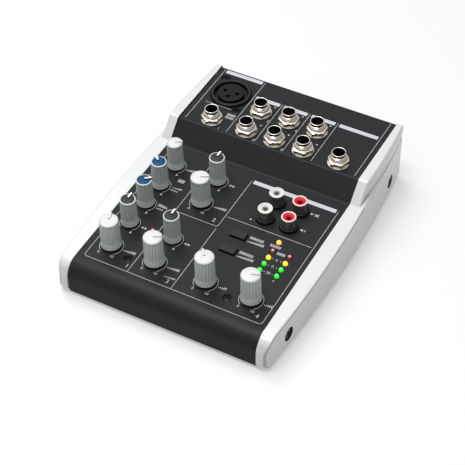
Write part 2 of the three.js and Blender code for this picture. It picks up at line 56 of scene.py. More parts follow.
panel_low, panel_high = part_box("top_panel")
FRONT = panel_low.y
BACK = panel_high.y
PANEL_HALF_WIDTH = panel_high.x
PANEL_BOTTOM = panel_low.z
SHEET = 0.0012
EDGE_ROLL = 0.0003
NOSE_HEIGHT = 0.02065
NOSE_RADIUS = 0.009
BEND_RADIUS = 0.0015
JOINTS = {joint["child"]: joint for joint in frame["joints"]}
DECK_NORMAL = Vector(JOINTS["gain_control"]["axis"])
DECK_TILT = atan2(-DECK_NORMAL.y, DECK_NORMAL.z)
RAISED_TILT = radians(2.14)
STEP_FOOT = FRONT + 0.1116
STEP_TOP = STEP_FOOT + 0.0101
STEP_FOOT_HEIGHT = NOSE_HEIGHT + (STEP_FOOT - FRONT) * tan(DECK_TILT)
STEP_TOP_HEIGHT = STEP_FOOT_HEIGHT + 0.0108
BACK_HEIGHT = STEP_TOP_HEIGHT + (BACK - STEP_TOP) * tan(RAISED_TILT)

deck_place = Matrix.Translation((0, FRONT, NOSE_HEIGHT)) @ Matrix.Rotation(DECK_TILT, 4, "X")
raised_place = Matrix.Translation((0, STEP_TOP, STEP_TOP_HEIGHT)) @ Matrix.Rotation(RAISED_TILT, 4, "X")

cheek_low, cheek_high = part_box("right_cheek")
CHEEK_PROUD = 0.0008
CHEEK_INNER = cheek_low.x
CHEEK_FRONT = cheek_low.y
CHEEK_BACK = cheek_high.y
CHEEK_BOTTOM = cheek_low.z
CHEEK_DRAFT = 0.03
CHEEK_EDGE = 0.0011
EDGE_BEND = 8
PAINTED_SHADE_START = 5
EDGE_BORDER = 1.35
BOW_HALF_WIDTH = 0.0682
BOW_CENTRE = FRONT + 0.072
BOW_RADIUS = 0.82
LEDGE_WIDTH = 0.00235
LEDGE_LEFT = 0.0001
LEDGE_FADE = 2.2
FRONT_CORNER = 0.004
BACK_CORNER = 0.0015
WELL_RADIUS = 0.00415
WELL_DEPTH = 0.0026


def middle(node):
    low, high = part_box(node)
    return (low + high) / 2


def half_size(node):
    low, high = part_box(node)
    return (high - low) / 2


def spot(node, place):
    """Where the middle of a CAD node lies on a deck: x across and y along it."""
    return (place.inverted() @ middle(node)).xy


def on_deck(x, y, place=deck_place):
    return place @ Matrix.Translation((x, y, 0))


def place_in_scene(name, data, matrix=Matrix()):
    thing = bpy.data.objects.new(name, data)
    bpy.context.scene.collection.objects.link(thing)
    thing.matrix_world = matrix
    return thing


# ---- Mesh building


class Shape:
    """Points and faces gathered for one piece, with a material number for each face."""

    def __init__(self):
        self.points = []
        self.faces = []
        self.materials = []

    def add(self, points, faces, material=0, flip=False):
        start = len(self.points)
        self.points += [Vector(p) for p in points]
        self.faces += [[start + i for i in (face[::-1] if flip else face)] for face in faces]
        self.materials += [material] * len(faces)

    def bridge(self, rings, material=0, closed=True, flip=False, caps=(False, False)):
        """Joins rings of points, each with the same number of points, by strips of faces."""
        count = len(rings[0])
        last = (len(rings) - 1) * count
        faces = []
        for first in range(0, last, count):
            for i in range(count if closed else count - 1):
                a = first + i
                b = first + (i + 1) % count
                faces.append((a, b, b + count, a + count))
        if caps[0]:
            faces.append(range(count)[::-1])
        if caps[1]:
            faces.append(range(last, last + count))
        self.add([p for ring in rings for p in ring], faces, material, flip)

    def turned(self, profile, material=0, sides=48, centre=(0, 0), caps=(False, False)):
        """A surface turned about an upright axis, from (radius, height) points up the outside."""
        rings = [[p + Vector((*centre, 0)) for p in circle(r, z, sides)] for r, z in profile]
        self.bridge(rings, material, caps=caps)

    def piece(self, name, finishes, replaces=(), place=Matrix(), sharp=35, body="case"):
        """Makes the mesh object in place and ties it to its CAD body."""
        mesh = bpy.data.meshes.new(name)
        mesh.from_pydata([place @ p for p in self.points], [], self.faces)
        for made in finishes:
            mesh.materials.append(made)
        mesh.polygons.foreach_set("material_index", self.materials)
        mesh.validate()
        settle(mesh, sharp)
        piece = place_in_scene(name, mesh)
        piece.modifiers.new("even_shading", "WEIGHTED_NORMAL").keep_sharp = True
        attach(piece, body)
        if replaces:
            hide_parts(*replaces)


def settle(mesh, sharp):
    """Merges points that meet and shades the faces smooth up to the sharp angle."""
    work = bmesh.new()
    work.from_mesh(mesh)
    bmesh.ops.remove_doubles(work, verts=work.verts, dist=1e-7)
    bmesh.ops.dissolve_degenerate(work, edges=work.edges, dist=1e-8)
    work.to_mesh(mesh)
    work.free()
    mesh.polygons.foreach_set("use_smooth", [True] * len(mesh.polygons))
    mesh.set_sharp_from_angle(angle=radians(sharp))


def polar(radius, angle, height=0.0):
    return Vector((radius * cos(angle), radius * sin(angle), height))


def circle(radius, height, sides):
    return [polar(radius, tau * i / sides, height) for i in range(sides)]


def box_ring(half_width, half_length, radius, height, steps=5):
    """An upright box's outline with round corners."""
    ring = []
    for corner, (sign_x, sign_y) in enumerate(((1, 1), (-1, 1), (-1, -1), (1, -1))):
        for i in range(steps + 1):
            angle = pi / 2 * (corner + i / steps)
            x = sign_x * (half_width - radius) + radius * cos(angle)
            y = sign_y * (half_length - radius) + radius * sin(angle)
            ring.append(Vector((x, y, height)))
    return ring


def add_box(shape, low, high, edge=0.0003, material=0):
    """A block with every edge bevelled."""
    centre = ((Vector(low) + Vector(high)) / 2).xy.to_3d()
    half = (Vector(high) - Vector(low)) / 2
    rings = []
    for inset, height in ((edge, low[2]), (0, low[2] + edge), (0, high[2] - edge), (edge, high[2])):
        rings.append([p + centre for p in box_ring(half.x - inset, half.y - inset, edge, height, 2)])
    shape.bridge(rings, material, caps=(True, True))


def arc_points(centre, radius, start, end, steps=4):
    """Points of a profile's round corner, angles in degrees."""
    angles = [radians(start + (end - start) * i / steps) for i in range(steps + 1)]
    return [(centre[0] + radius * cos(a), centre[1] + radius * sin(a)) for a in angles]


def rounded_path(corners, closed=False, spacing=inf):
    """A path in a side view through (y, z, radius) corners, as (point, outward normal) pairs.
    The path runs with its outside on the left; stretches longer than the spacing get extra points."""
    arc_step = radians(7)
    path = []
    spots = [Vector(corner[:2]) for corner in corners]
    for i, here in enumerate(spots):
        radius = corners[i][2]
        before = (here - spots[i - 1]).normalized()
        after = (spots[(i + 1) % len(spots)] - here).normalized()
        if not closed and i == 0:
            before = after
        if not closed and i == len(spots) - 1:
            after = before
        outward = Vector((-before.y, before.x))
        turn = atan2(before.cross(after), before.dot(after))
        if radius == 0:
            path.append((here, outward))
            if abs(turn) > 1e-6:
                path.append((here, Vector((-after.y, after.x))))
            continue
        start = here - before * radius * tan(abs(turn) / 2)
        centre = start + outward * copysign(radius, turn)
        pieces = max(2, round(abs(turn) / arc_step))
        for k in range(pieces + 1):
            spin = Matrix.Rotation(turn * k / pieces, 2)
            path.append((centre + spin @ (start - centre), spin @ outward))
    filled = []
    for (point, normal), (goal, _) in zip(path, path[1:] + path[:1]):
        extra = int((goal - point).length / spacing)
        filled += [(point.lerp(goal, k / (extra + 1)), normal) for k in range(extra + 1)]
    if not closed:
        filled = filled[:len(filled) - extra]
    return filled


def inside(point, outline):
    """Whether a point lies in a closed outline."""
    within = False
    for a, b in zip(outline, outline[1:] + outline[:1]):
        if (a[1] > point[1]) != (b[1] > point[1]):
            within ^= a[0] + (point[1] - a[1]) * (b[0] - a[0]) / (b[1] - a[1]) > point[0]
    return within


def pierced(outline, holes, inner_points=()):
    """Fills an outline that has holes in it. Returns points and triangles that face up."""
    points = []
    edges = []
    for loop in [outline, *holes]:
        start = len(points)
        points += [Vector(p) for p in loop]
        edges += [(start + i, start + (i + 1) % len(loop)) for i in range(len(loop))]
    points += inner_points
    flat, _, faces, *_ = delaunay_2d_cdt(points, edges, [], 0, 1e-9)
    kept = []
    for face in faces:
        centre = sum((flat[i] for i in face), Vector((0, 0))) / len(face)
        if inside(centre, outline) and not any(inside(centre, hole) for hole in holes):
            kept.append(face)
    return flat, kept


def round_hole(centre, radius, sides=32):
    return [Vector((p.x + centre[0], p.y + centre[1])) for p in circle(radius, 0, sides)]


def slot_hole(centre, half_width, half_length, radius):
    ring = box_ring(half_width, half_length, radius, 0, 3)
    return [Vector((p.x + centre[0], p.y + centre[1])) for p in ring]


def grown(loop, margin):
    """A hole's outline, this much wider all round."""
    centre = sum(loop, Vector((0, 0))) / len(loop)
    return [p + (p - centre).normalized() * margin for p in loop]


# ---- Materials


def feed(tree, node, inputs):
    """Gives each named input its value, or links it to the output that feeds it."""
    for name, source in inputs.items():
        if isinstance(source, bpy.types.NodeSocket):
            tree.links.new(source, node.inputs[name])
        else:
            node.inputs[name].default_value = source


def add_node(tree, kind, output, **inputs):
    """Adds a shader node and returns its named output."""
    made = tree.nodes.new("ShaderNode" + kind)
    feed(tree, made, inputs)
    return made.outputs[output]


def noise(tree, scale, detail, roughness=0.55, stretch=(1, 1, 1)):
    """Noise in the piece's own coordinates; scale counts features per metre."""
    where = add_node(tree, "TexCoord", "Object")
    mapped = add_node(tree, "Mapping", "Vector", Vector=where, Scale=stretch)
    return add_node(tree, "TexNoise", "Fac", Vector=mapped, Scale=scale, Detail=detail, Roughness=roughness)


def grey(value):
    return (value, value, value, 1)


def shade(colour, factor):
    return (*(min(1.0, channel * factor) for channel in colour), 1)


def ramp(tree, source, low, high, start=0.3, end=0.7):
    """Spreads part of a number's range between two colours."""
    made = tree.nodes.new("ShaderNodeValToRGB")
    for stop, place, colour in zip(made.color_ramp.elements, (start, end), (low, high)):
        stop.position = place
        stop.color = colour
    feed(tree, made, {"Fac": source})
    return made.outputs["Color"]


def relief(tree, height, strength):
    return add_node(tree, "Bump", "Normal", Height=height, Strength=strength, Distance=0.0001)


def surface(made, **inputs):
    """Changes inputs of a material's surface shader."""
    feed(made.node_tree, made.node_tree.nodes["Principled BSDF"], inputs)


def finish(name, colour, roughness, metallic=0.0, grain=2500, bump=0.1, mottle=0.06, wear=150,
           spread=0.08, stretch=(1, 1, 1), coat=0.0, specular=0.5):
    """A surface with slight mottling, uneven gloss and a fine grain."""
    made = bpy.data.materials.new(name)
    made.use_nodes = True
    tree = made.node_tree
    tint = ramp(tree, noise(tree, wear, 5.0), shade(colour, 1 - mottle), shade(colour, 1 + mottle))
    patches = noise(tree, grain / 4, 4.0, 0.6, stretch)
    gloss = ramp(tree, patches, grey(max(0.02, roughness - spread)), grey(min(1, roughness + spread)))
    bumps = relief(tree, noise(tree, grain, 3.0, 0.6, stretch), bump)
    surface(made, **{"Base Color": tint, "Roughness": gloss, "Normal": bumps, "Metallic": metallic,
                     "Specular IOR Level": specular, "Coat Weight": coat})
    return made


def grip_plastic(name, colour):
    return finish(name, colour, 0.36, grain=3500, bump=0.12, mottle=0.05, wear=300)


def cap_plastic(name, colour, specular=0.4):
    return finish(name, colour, 0.42, grain=3000, bump=0.06, mottle=0.03, wear=250, specular=specular)


def moulded_black(name, level, roughness, specular):
    colour = (level, level, level * 1.04)
    return finish(name, colour, roughness, grain=3000, bump=0.14, mottle=0.1, wear=200, specular=specular)


def plated(name, colour, roughness):
    """Bright plating with faint turning marks."""
    return finish(name, colour, roughness, 1.0, 2200, 0.02, wear=350, spread=0.05, stretch=(1, 1, 6))


def ink(name, colour):
    """Screen-printed ink, slightly uneven."""
    return finish(name, colour, 0.55, grain=9000, bump=0.12, mottle=0.07, wear=1500)


def glow(name, colour, light, strength):
    """The lens of a lit lamp, its light slightly clouded."""
    made = finish(name, colour, 0.25, grain=1500, bump=0.05, mottle=0.1, wear=900, coat=0.5)
    tree = made.node_tree
    clouded = ramp(tree, noise(tree, 1200, 2.0), shade(light, 0.85), shade(light, 1))
    surface(made, **{"Emission Color": clouded, "Emission Strength": strength})
    return made


def board_laminate():
    """Green solder mask with copper tracks showing through."""
    made = finish("circuit_board", (0.012, 0.09, 0.033), 0.36, grain=3600)
    tree = made.node_tree
    tracks = tree.nodes.new("ShaderNodeTexBrick")
    feed(tree, tracks, {
        "Vector": add_node(tree, "TexCoord", "Object"), "Scale": 160, "Mortar Size": 0.05,
        "Color1": (0.010, 0.085, 0.030, 1), "Color2": (0.013, 0.100, 0.036, 1),
        "Mortar": (0.045, 0.200, 0.060, 1),
    })
    bumps = relief(tree, tracks.outputs["Fac"], 0.3)
    surface(made, **{"Base Color": tracks.outputs["Color"], "Normal": bumps})
    return made


panel_paint = finish("panel_paint", (0.0113, 0.0119, 0.0131), 0.45,
                     grain=5200, bump=0.3, mottle=0.05, specular=0.12)
silver = finish("cheek_silver", (0.50, 0.51, 0.505), 0.25, 0.2, 4000, 0.015,
                mottle=0.01, wear=60, spread=0.02)
knob_grey_light = grip_plastic("knob_grey_light", (0.395, 0.424, 0.420))
knob_grey = grip_plastic("knob_grey", (0.385, 0.412, 0.410))
# Painted highlight: a paler grey for the chamfered ring at the top of each grip.
knob_rim_painted_highlight = grip_plastic("knob_rim_painted_highlight", (0.43, 0.45, 0.445))
white_cap = cap_plastic("cap_white", (0.455, 0.465, 0.46))
blue_cap = cap_plastic("cap_blue", (0.003, 0.040, 0.110), 0.15)
dark_cap = cap_plastic("cap_dark", (0.021, 0.022, 0.023), 0.15)
pointer_white = cap_plastic("pointer_white", (0.84, 0.85, 0.84))
socket_black = moulded_black("socket_black", 0.008, 0.42, 0.2)
# Near-black for black plastic parts, and painted shade for recesses, grooves, undercuts and button sides.
black_parts_and_painted_shade = moulded_black("black_parts_and_painted_shade", 0.003, 0.6, 0.2)
black_plastic = moulded_black("black_plastic", 0.0165, 0.5, 0.14)
insert_black = moulded_black("insert_black", 0.005, 0.5, 0.12)
rca_shell = finish("rca_metal", (0.24, 0.24, 0.25), 0.24, metallic=0.85, grain=3000, bump=0.03, spread=0.04)
# Painted shade: a darker silver on the cheeks' rounded outer edges stands in for their dark silhouettes.
painted_shade_cheek_edge = finish("painted_shade_cheek_edge", (0.30, 0.305, 0.30), 0.33, 0.2, 4000, 0.015,
                    mottle=0.03, wear=900, spread=0.02)
black_screw = finish("black_screw", (0.005, 0.005, 0.005), 0.4, grain=2500, bump=0.12, specular=0.2)
foot_rubber = finish("foot_rubber", (0.016, 0.016, 0.016), 0.85, grain=1800, bump=0.5, mottle=0.15)
nickel = plated("jack_nickel", (0.66, 0.615, 0.55), 0.30)
bright_steel = plated("socket_steel", (0.62, 0.62, 0.63), 0.28)
shaft_steel = plated("shaft_steel", (0.55, 0.55, 0.56), 0.33)
pan_steel = finish("pan_steel", (0.040, 0.040, 0.042), 0.42, metallic=0.4, grain=3800, bump=0.25)
# Painted highlight: a pale cream on the top lip of each metal RCA shell.
rca_rim_painted_highlight = cap_plastic("rca_rim_painted_highlight", (0.62, 0.57, 0.53))
rca_white = cap_plastic("rca_white", (0.42, 0.43, 0.425))
rca_red = cap_plastic("rca_red", (0.44, 0.006, 0.014), 0.2)
# Painted shade: darker red and grey for the deep bores of the RCA insulators.
rca_red_painted_shade = cap_plastic("rca_red_painted_shade", (0.34, 0.003, 0.008))
rca_white_painted_shade = cap_plastic("rca_white_painted_shade", (0.26, 0.26, 0.26))
brass = plated("contact_brass", (0.70, 0.52, 0.25), 0.3)
panel_print = ink("panel_print", (0.36, 0.37, 0.38))
print_bar = ink("print_bar", (0.36, 0.37, 0.39))
board_green = board_laminate()
ribbon_grey = finish("ribbon_grey", (0.34, 0.34, 0.35), 0.55, grain=800, bump=0.3, stretch=(8, 1, 1))
led_amber = glow("led_amber", (0.70, 0.30, 0.04), (1.0, 0.50, 0.08), 1.1)
led_yellow = glow("led_yellow", (0.70, 0.55, 0.03), (1.0, 0.75, 0.02), 0.9)
led_green = glow("led_green", (0.03, 0.50, 0.03), (0.02, 0.85, 0.03), 0.8)
led_red = finish("led_red", (0.24, 0.035, 0.036), 0.3, grain=1500, bump=0.05, mottle=0.1, coat=0.8)
# Painted highlight: a pinker crown on the unlit red lenses.
led_red_painted_highlight = finish("led_red_painted_highlight", (0.50, 0.19, 0.20), 0.3, grain=1500, bump=0.05, mottle=0.1, coat=0.8)


# ---- Camera, light and floor

CAMERA_AZIMUTH = radians(28.484)
CAMERA_ELEVATION = radians(43.418)
CAMERA_PLACE = Vector((0.291416, -0.543577, 0.582786))
CAMERA_LENS = 114.74
CAMERA_NEAR = 0.05
CAMERA_FAR = 20
KEY_LIGHT = {"place": (-0.52, 0.25, 1.15), "size": (0.60, 0.60), "power": 8.2}
TOP_LIGHT = {"place": (-0.10, -0.32, 1.26), "size": (0.60, 0.26), "power": 11.5}
FLOOR_REACH = 6.0
FLOOR_GLOW = 0.37
HORIZON = 0.12
ZENITH = 1.1


def add_camera():
    data = bpy.data.cameras.new("camera")
    data.lens = CAMERA_LENS
    data.clip_start = CAMERA_NEAR
    data.clip_end = CAMERA_FAR
    back = polar(cos(CAMERA_ELEVATION), CAMERA_AZIMUTH - pi / 2, sin(CAMERA_ELEVATION))
    right = polar(1, CAMERA_AZIMUTH)
    turn = Matrix((right, back.cross(right), back)).transposed().to_4x4()
    bpy.context.scene.camera = place_in_scene("camera", data, Matrix.Translation(CAMERA_PLACE) @ turn)


def add_softbox(name, place, size, power):
    """A rectangular light that faces the console."""
    data = bpy.data.lights.new(name, "AREA")
    data.shape = "RECTANGLE"
    data.size, data.size_y = size
    data.energy = power
    turn = (-Vector(place)).to_track_quat("-Z", "Y").to_matrix().to_4x4()
    place_in_scene(name, data, Matrix.Translation(place) @ turn)


def add_surroundings():
    """A room that is pale overhead and dim at the horizon."""
    world = bpy.data.worlds.new("studio")
    world.use_nodes = True
    tree = world.node_tree
    where = add_node(tree, "TexCoord", "Generated")
    height = add_node(tree, "SeparateXYZ", "Z", Vector=where)
    sky = ramp(tree, height, grey(HORIZON), grey(ZENITH), 0.1, 0.95)
    feed(tree, tree.nodes["Background"], {"Color": sky, "Strength": 1.0})
    bpy.context.scene.world = world


def add_floor():
    """A wide pale sheet with a faint paper grain."""
    sheet = finish("floor_paper", (0.34, 0.34, 0.34), 0.5, grain=700, bump=0.02, mottle=0.004, wear=3)
    surface(sheet, **{"Emission Color": grey(1.0), "Emission Strength": FLOOR_GLOW})
    mesh = bpy.data.meshes.new("floor")
    corners = [(FLOOR_REACH * x, FLOOR_REACH * y, 0) for x, y in ((-1, -1), (1, -1), (1, 1), (-1, 1))]
    mesh.from_pydata(corners, [], [(0, 1, 2, 3)])
    mesh.materials.append(sheet)
    place_in_scene("floor", mesh)


# ---- Case

LED_RADIUS = 0.0014
LED_PITCH = 0.0051
METER_ROW = 0.0452
METER_COLUMNS = {"left": 0.0359, "right": 0.0461}
METER_FINISHES = [led_green, led_green, led_yellow, led_red]
LEDS = [(METER_COLUMNS["left"], 0.0678, "power", led_amber), (-0.0300, 0.0441, "channel_clip", led_red)]
for meter, column in METER_COLUMNS.items():
    for step, lens in enumerate(METER_FINISHES):
        LEDS.append((column, METER_ROW + LED_PITCH * step, f"{meter}_meter_{step + 1}", lens))

KNOBS = [body for body in JOINTS if body.endswith("_control")]
BUTTONS = ["phones_switch", "main_switch"]
BUTTON_HALF_WIDTH = 0.00455
BUTTON_HALF_LENGTH = 0.00245
BUTTON_TOP = 0.0014
JACKS = sorted(name for name in frame["nodes"] if name.endswith("_jack"))
SHAFT_HOLE = 0.0036
JACK_HOLE = 0.00465
SCREW_HOLE = 0.0025
XLR_SCREW_HOLE = 0.0026
HOLE_GAP = 0.0003
PIERCED_LEAST = 0.02
RCA_PITCH = Vector((0.01445, 0.01375))
RCA_ROW_MIDDLE = 0.087375
RCA_BOSS = 0.0051
RCA_RING = 0.00415
XLR_COLLAR = 0.012


def rca_spots():
    """The four sockets' places on the lower deck, as (side, row, spot)."""
    centre = Vector((spot("rca_block", deck_place).x, RCA_ROW_MIDDLE))
    return [
        (side, row, centre + Vector((i * RCA_PITCH.x / 2, k * RCA_PITCH.y / 2)))
        for i, side in ((-1, "left"), (1, "right"))
        for k, row in ((-1, "in"), (1, "out"))
    ]


def knob_spot(body):
    return (deck_place.inverted() @ Vector(JOINTS[body]["pos_m"])).xy


def deck_holes():
    """Openings for the knob shafts, lamps, screws, RCA bosses and buttons."""
    holes = [round_hole(knob_spot(body), SHAFT_HOLE) for body in KNOBS]
    holes += [round_hole((x, v), LED_RADIUS + 0.00025, 24) for x, v, _, _ in LEDS]
    holes += [round_hole(spot(f"{side}_panel_screw", deck_place), SCREW_HOLE) for side in ("left", "right")]
    holes += [round_hole(place, RCA_BOSS + HOLE_GAP, 40) for _, _, place in rca_spots()]
    for name in BUTTONS:
        centre = spot(f"{name}_button", deck_place)
        holes.append(slot_hole(centre, BUTTON_HALF_WIDTH + HOLE_GAP, BUTTON_HALF_LENGTH + HOLE_GAP, 0.0005))
    return holes


def xlr_screw_spots():
    """Two of the four corners round the XLR socket."""
    corner = Vector((0.0099, -0.0120))
    return [spot("xlr_socket", raised_place) + side * corner for side in (-1, 1)]


def raised_holes():
    holes = [round_hole(spot(name, raised_place), JACK_HOLE) for name in JACKS]
    holes += [round_hole(place, XLR_SCREW_HOLE) for place in xlr_screw_spots()]
    return holes + [round_hole(spot("xlr_socket", raised_place), XLR_COLLAR + HOLE_GAP, 56)]


def back_holes():
    """Openings for the two rear sockets, measured down from the raised deck's back edge."""
    margin = 0.0006
    holes = []
    for node in ("usb_socket", "power_inlet"):
        half = half_size(node)
        centre = (middle(node).x, BACK_HEIGHT - middle(node).z)
        holes.append(slot_hole(centre, half.x + margin, half.z + margin, 0.0004))
    return holes


def add_pierced_stretch(shape, start, end, holes):
    """A flat stretch of the sheet, with its holes given in x and in distance from the start."""
    along = (end - start).normalized()
    normal = Vector((-along.y, along.x))
    length = (end - start).length
    half = PANEL_HALF_WIDTH - EDGE_ROLL
    outline = [Vector(p) for p in ((-half, 0), (half, 0), (half, length), (-half, length))]

    def lift(points, depth):
        return [(p[0], *(start + along * p[1] - normal * depth)) for p in points]

    soft = 0.00018
    mouths = [grown(hole, soft) for hole in holes]
    outer, faces = pierced(outline, mouths)
    shape.add(lift(outer, 0), faces)
    inner, faces = pierced(outline, holes)
    shape.add(lift(inner, SHEET), faces, flip=True)
    for mouth, hole in zip(mouths, holes):
        shape.bridge([lift(mouth, 0), lift(hole, soft), lift(hole, SHEET)], flip=True)


def top_panel():
    """The bent sheet with rolled side edges; its long flats, both decks and the back, are pierced."""
    path = rounded_path([
        (FRONT, PANEL_BOTTOM, 0),
        (FRONT, NOSE_HEIGHT, NOSE_RADIUS),
        (STEP_FOOT, STEP_FOOT_HEIGHT, BEND_RADIUS),
        (STEP_TOP, STEP_TOP_HEIGHT, BEND_RADIUS),
        (BACK, BACK_HEIGHT, BEND_RADIUS),
        (BACK, PANEL_BOTTOM, 0),
    ])
    inner_half = PANEL_HALF_WIDTH - EDGE_ROLL
    roll = [(inner_half, 0), (PANEL_HALF_WIDTH - 0.3 * EDGE_ROLL, 0.3 * EDGE_ROLL)]
    roll += [(PANEL_HALF_WIDTH, EDGE_ROLL), (PANEL_HALF_WIDTH, SHEET)]
    shape = Shape()
    for sign in (-1, 1):
        rings = [[(sign * x, *(point - normal * depth)) for x, depth in roll] for point, normal in path]
        shape.bridge(rings, closed=False, flip=sign > 0)
    openings = [
        (Vector((FRONT, NOSE_HEIGHT)), deck_holes()),
        (Vector((STEP_TOP, STEP_TOP_HEIGHT)), raised_holes()),
        (Vector((BACK, BACK_HEIGHT)), back_holes()),
    ]
    for (start, _), (end, _) in zip(path, path[1:]):
        length = (end - start).length
        if length < 1e-6:
            continue
        holes = []
        if length > PIERCED_LEAST:
            origin, holes = openings.pop(0)
            skipped = Vector((0, (start - origin).length))
            holes = [[p - skipped for p in hole] for hole in holes]
        add_pierced_stretch(shape, start, end, holes)
    shape.piece("sheet_panel", [panel_paint], ["top_panel"], sharp=40)


def share_left(y):
    """How much of the way to the back is left: 1 as far as the foot of the step, 0 at the back."""
    return max(0.0, min(1.0, (CHEEK_BACK - y) / (CHEEK_BACK - STEP_FOOT)))


def bow(y, z):
    """Half width of a cheek's bowed outer face, with its plan corners rounded."""
    width = BOW_HALF_WIDTH - (y - BOW_CENTRE) ** 2 / (2 * BOW_RADIUS) - CHEEK_DRAFT * share_left(y) * z
    for depth, radius in ((y - CHEEK_FRONT, FRONT_CORNER), (CHEEK_BACK - y, BACK_CORNER)):
        share = min(1, max(0, 1 - depth / radius))
        width -= radius * (1 - sqrt(1 - share * share))
    return width


def raised_width(y, z=0.0):
    """Half width of a cheek beside the raised deck, the same at every z: its face there is upright."""
    return bow(y, STEP_TOP_HEIGHT) - LEDGE_LEFT - LEDGE_WIDTH * share_left(y) ** LEDGE_FADE


def ledge_height(y):
    return NOSE_HEIGHT + CHEEK_PROUD + (y - FRONT) * tan(DECK_TILT)


def cheek_rings(path, width, edge_of):
    """Rings from a cheek's inner face, over its rounded outer edge, to a border on its outer face."""
    rings = [[(CHEEK_INNER, *point) for point, _ in path]]
    bends = [pi / 2 * k / EDGE_BEND for k in range(EDGE_BEND + 1)]
    steps = [(1 - cos(angle), 1 - sin(angle)) for angle in bends] + [(EDGE_BORDER, 0)]
    for depth, inset in steps:
        ring = []
        for point, normal in path:
            radius = edge_of(point)
            deep = point - normal * radius * depth
            deep.x = min(deep.x, CHEEK_BACK)
            ring.append((width(*deep) - radius * inset, *deep))
        rings.append(ring)
    return rings


def wall_points(rim, holes):
    """A lattice inside a cheek's outer face, so that its bow is even."""
    lattice = Vector((0.004, 0.003))
    clear = 0.0012
    rows = range(int((CHEEK_BACK - CHEEK_FRONT) / lattice.x) + 1)
    columns = range(int(BACK_HEIGHT / lattice.y) + 1)
    points = [
        Vector((CHEEK_FRONT + lattice.x * i, CHEEK_BOTTOM + lattice.y * k))
        for i in rows for k in columns
    ]
    blocked = [grown(hole, clear) for hole in holes]
    return [
        p for p in points
        if inside(p, rim)
        and not any(inside(p, hole) for hole in blocked)
        and min((p - corner).length for corner in rim) > clear
    ]


def lower_cheek(shape):
    """The cheek up to the lower deck's line, which runs on to the back as a ledge; returns that line."""
    path = rounded_path([
        (CHEEK_FRONT, CHEEK_BOTTOM, 0.003),
        (CHEEK_FRONT, ledge_height(CHEEK_FRONT), NOSE_RADIUS + CHEEK_PROUD),
        (CHEEK_BACK, ledge_height(CHEEK_BACK), 0),
        (CHEEK_BACK, CHEEK_BOTTOM, 0.0015),
    ], closed=True, spacing=0.004)

    def edge_of(point):
        on_top = point.y > ledge_height(point.x) - 1e-4
        if on_top and point.x > STEP_FOOT:
            ledge = bow(*point) - raised_width(point.x)
            return max(0, min(CHEEK_EDGE, 0.9 * ledge))
        if point.x > CHEEK_BACK - 1e-4:
            return min(0.0005, 0.15 * (ledge_height(CHEEK_BACK) - point.y))
        return CHEEK_EDGE

    rings = cheek_rings(path, bow, edge_of)
    # The outer part of the rounded edge is painted shade, a darker silver, except behind the foot of the
    # step.
    shape.bridge(rings[:PAINTED_SHADE_START + 1])
    shape.bridge(rings[PAINTED_SHADE_START:-1], 2)
    shape.bridge(rings[-2:])
    for i, face in enumerate(shape.faces):
        if shape.points[face[0]].y > STEP_FOOT:
            shape.materials[i] = 0
    shape.add(rings[0], [range(len(path))])
    rim = [Vector(p[1:]) for p in rings[-1]]
    mouth = 0.0003
    screws = [middle(f"right_{end}_cheek_screw").yz for end in ("front", "rear")]
    wells = [round_hole(centre, WELL_RADIUS) for centre in screws]
    mouths = [grown(well, mouth) for well in wells]
    flat, faces = pierced(rim, mouths, wall_points(rim, mouths))
    shape.add([(bow(*p), *p) for p in flat], faces, flip=True)
    for centre, well, well_mouth in zip(screws, wells, mouths):
        floor = bow(*centre) - WELL_DEPTH
        lip = [(bow(*p) - mouth, *p) for p in well]
        shape.bridge([[(bow(*p), *p) for p in well_mouth], lip])
        # The well's wall and floor are painted shade, near-black.
        shape.bridge([lip, [(floor, *p) for p in well]], 1, caps=(False, True))
    return [p for p, _ in path if p.x >= STEP_FOOT and p.y > ledge_height(p.x) - 1e-6]


def upper_cheek(shape, ledge_line):
    """The narrower part beside the step and the raised deck, standing on the ledge."""
    run = Vector((STEP_TOP - STEP_FOOT, STEP_TOP_HEIGHT - STEP_FOOT_HEIGHT)).normalized()
    foot = Vector((STEP_FOOT, STEP_FOOT_HEIGHT)) + Vector((-run.y, run.x)) * CHEEK_PROUD
    foot.x += (ledge_height(foot.x) - foot.y) * run.x / run.y
    foot.y = ledge_height(foot.x)
    raised_line = STEP_TOP_HEIGHT + CHEEK_PROUD / cos(RAISED_TILT)
    slope = tan(RAISED_TILT)
    top = foot.x + (raised_line - foot.y + (foot.x - STEP_TOP) * slope) / (run.y / run.x - slope)
    radius = BEND_RADIUS + CHEEK_PROUD
    path = rounded_path([
        (*foot, 0),
        (top, raised_line + (top - STEP_TOP) * slope, radius),
        (CHEEK_BACK, raised_line + (CHEEK_BACK - STEP_TOP) * slope, radius),
        (CHEEK_BACK, ledge_height(CHEEK_BACK), 0),
    ], spacing=0.004)

    def edge_of(point):
        edge = min(0.0016, 0.3 * max(0, point.y - ledge_height(point.x)))
        return min(edge, 0.0005 + 0.5 * (CHEEK_BACK - point.x))

    rings = cheek_rings(path, raised_width, edge_of)
    shape.bridge(rings, closed=False)
    base = [p for p in ledge_line if foot.x < p.x < CHEEK_BACK - 1e-5]
    base.sort(key=lambda p: -p.x)
    rim = [Vector(p[1:]) for p in rings[-1]] + base
    flat, faces = pierced(rim, [], wall_points(rim, []))
    shape.add([(raised_width(p.x), *p) for p in flat], faces, flip=True)


def cheeks():
    for name, sign in (("right", 1), ("left", -1)):
        shape = Shape()
        upper_cheek(shape, lower_cheek(shape))
        shape.points = [Vector((sign * p.x, p.y, p.z)) for p in shape.points]
        shape.faces = [face[::sign] for face in shape.faces]
        shape.piece(f"{name}_moulded_cheek", [silver, black_parts_and_painted_shade, painted_shade_cheek_edge], [f"{name}_cheek"], sharp=38)


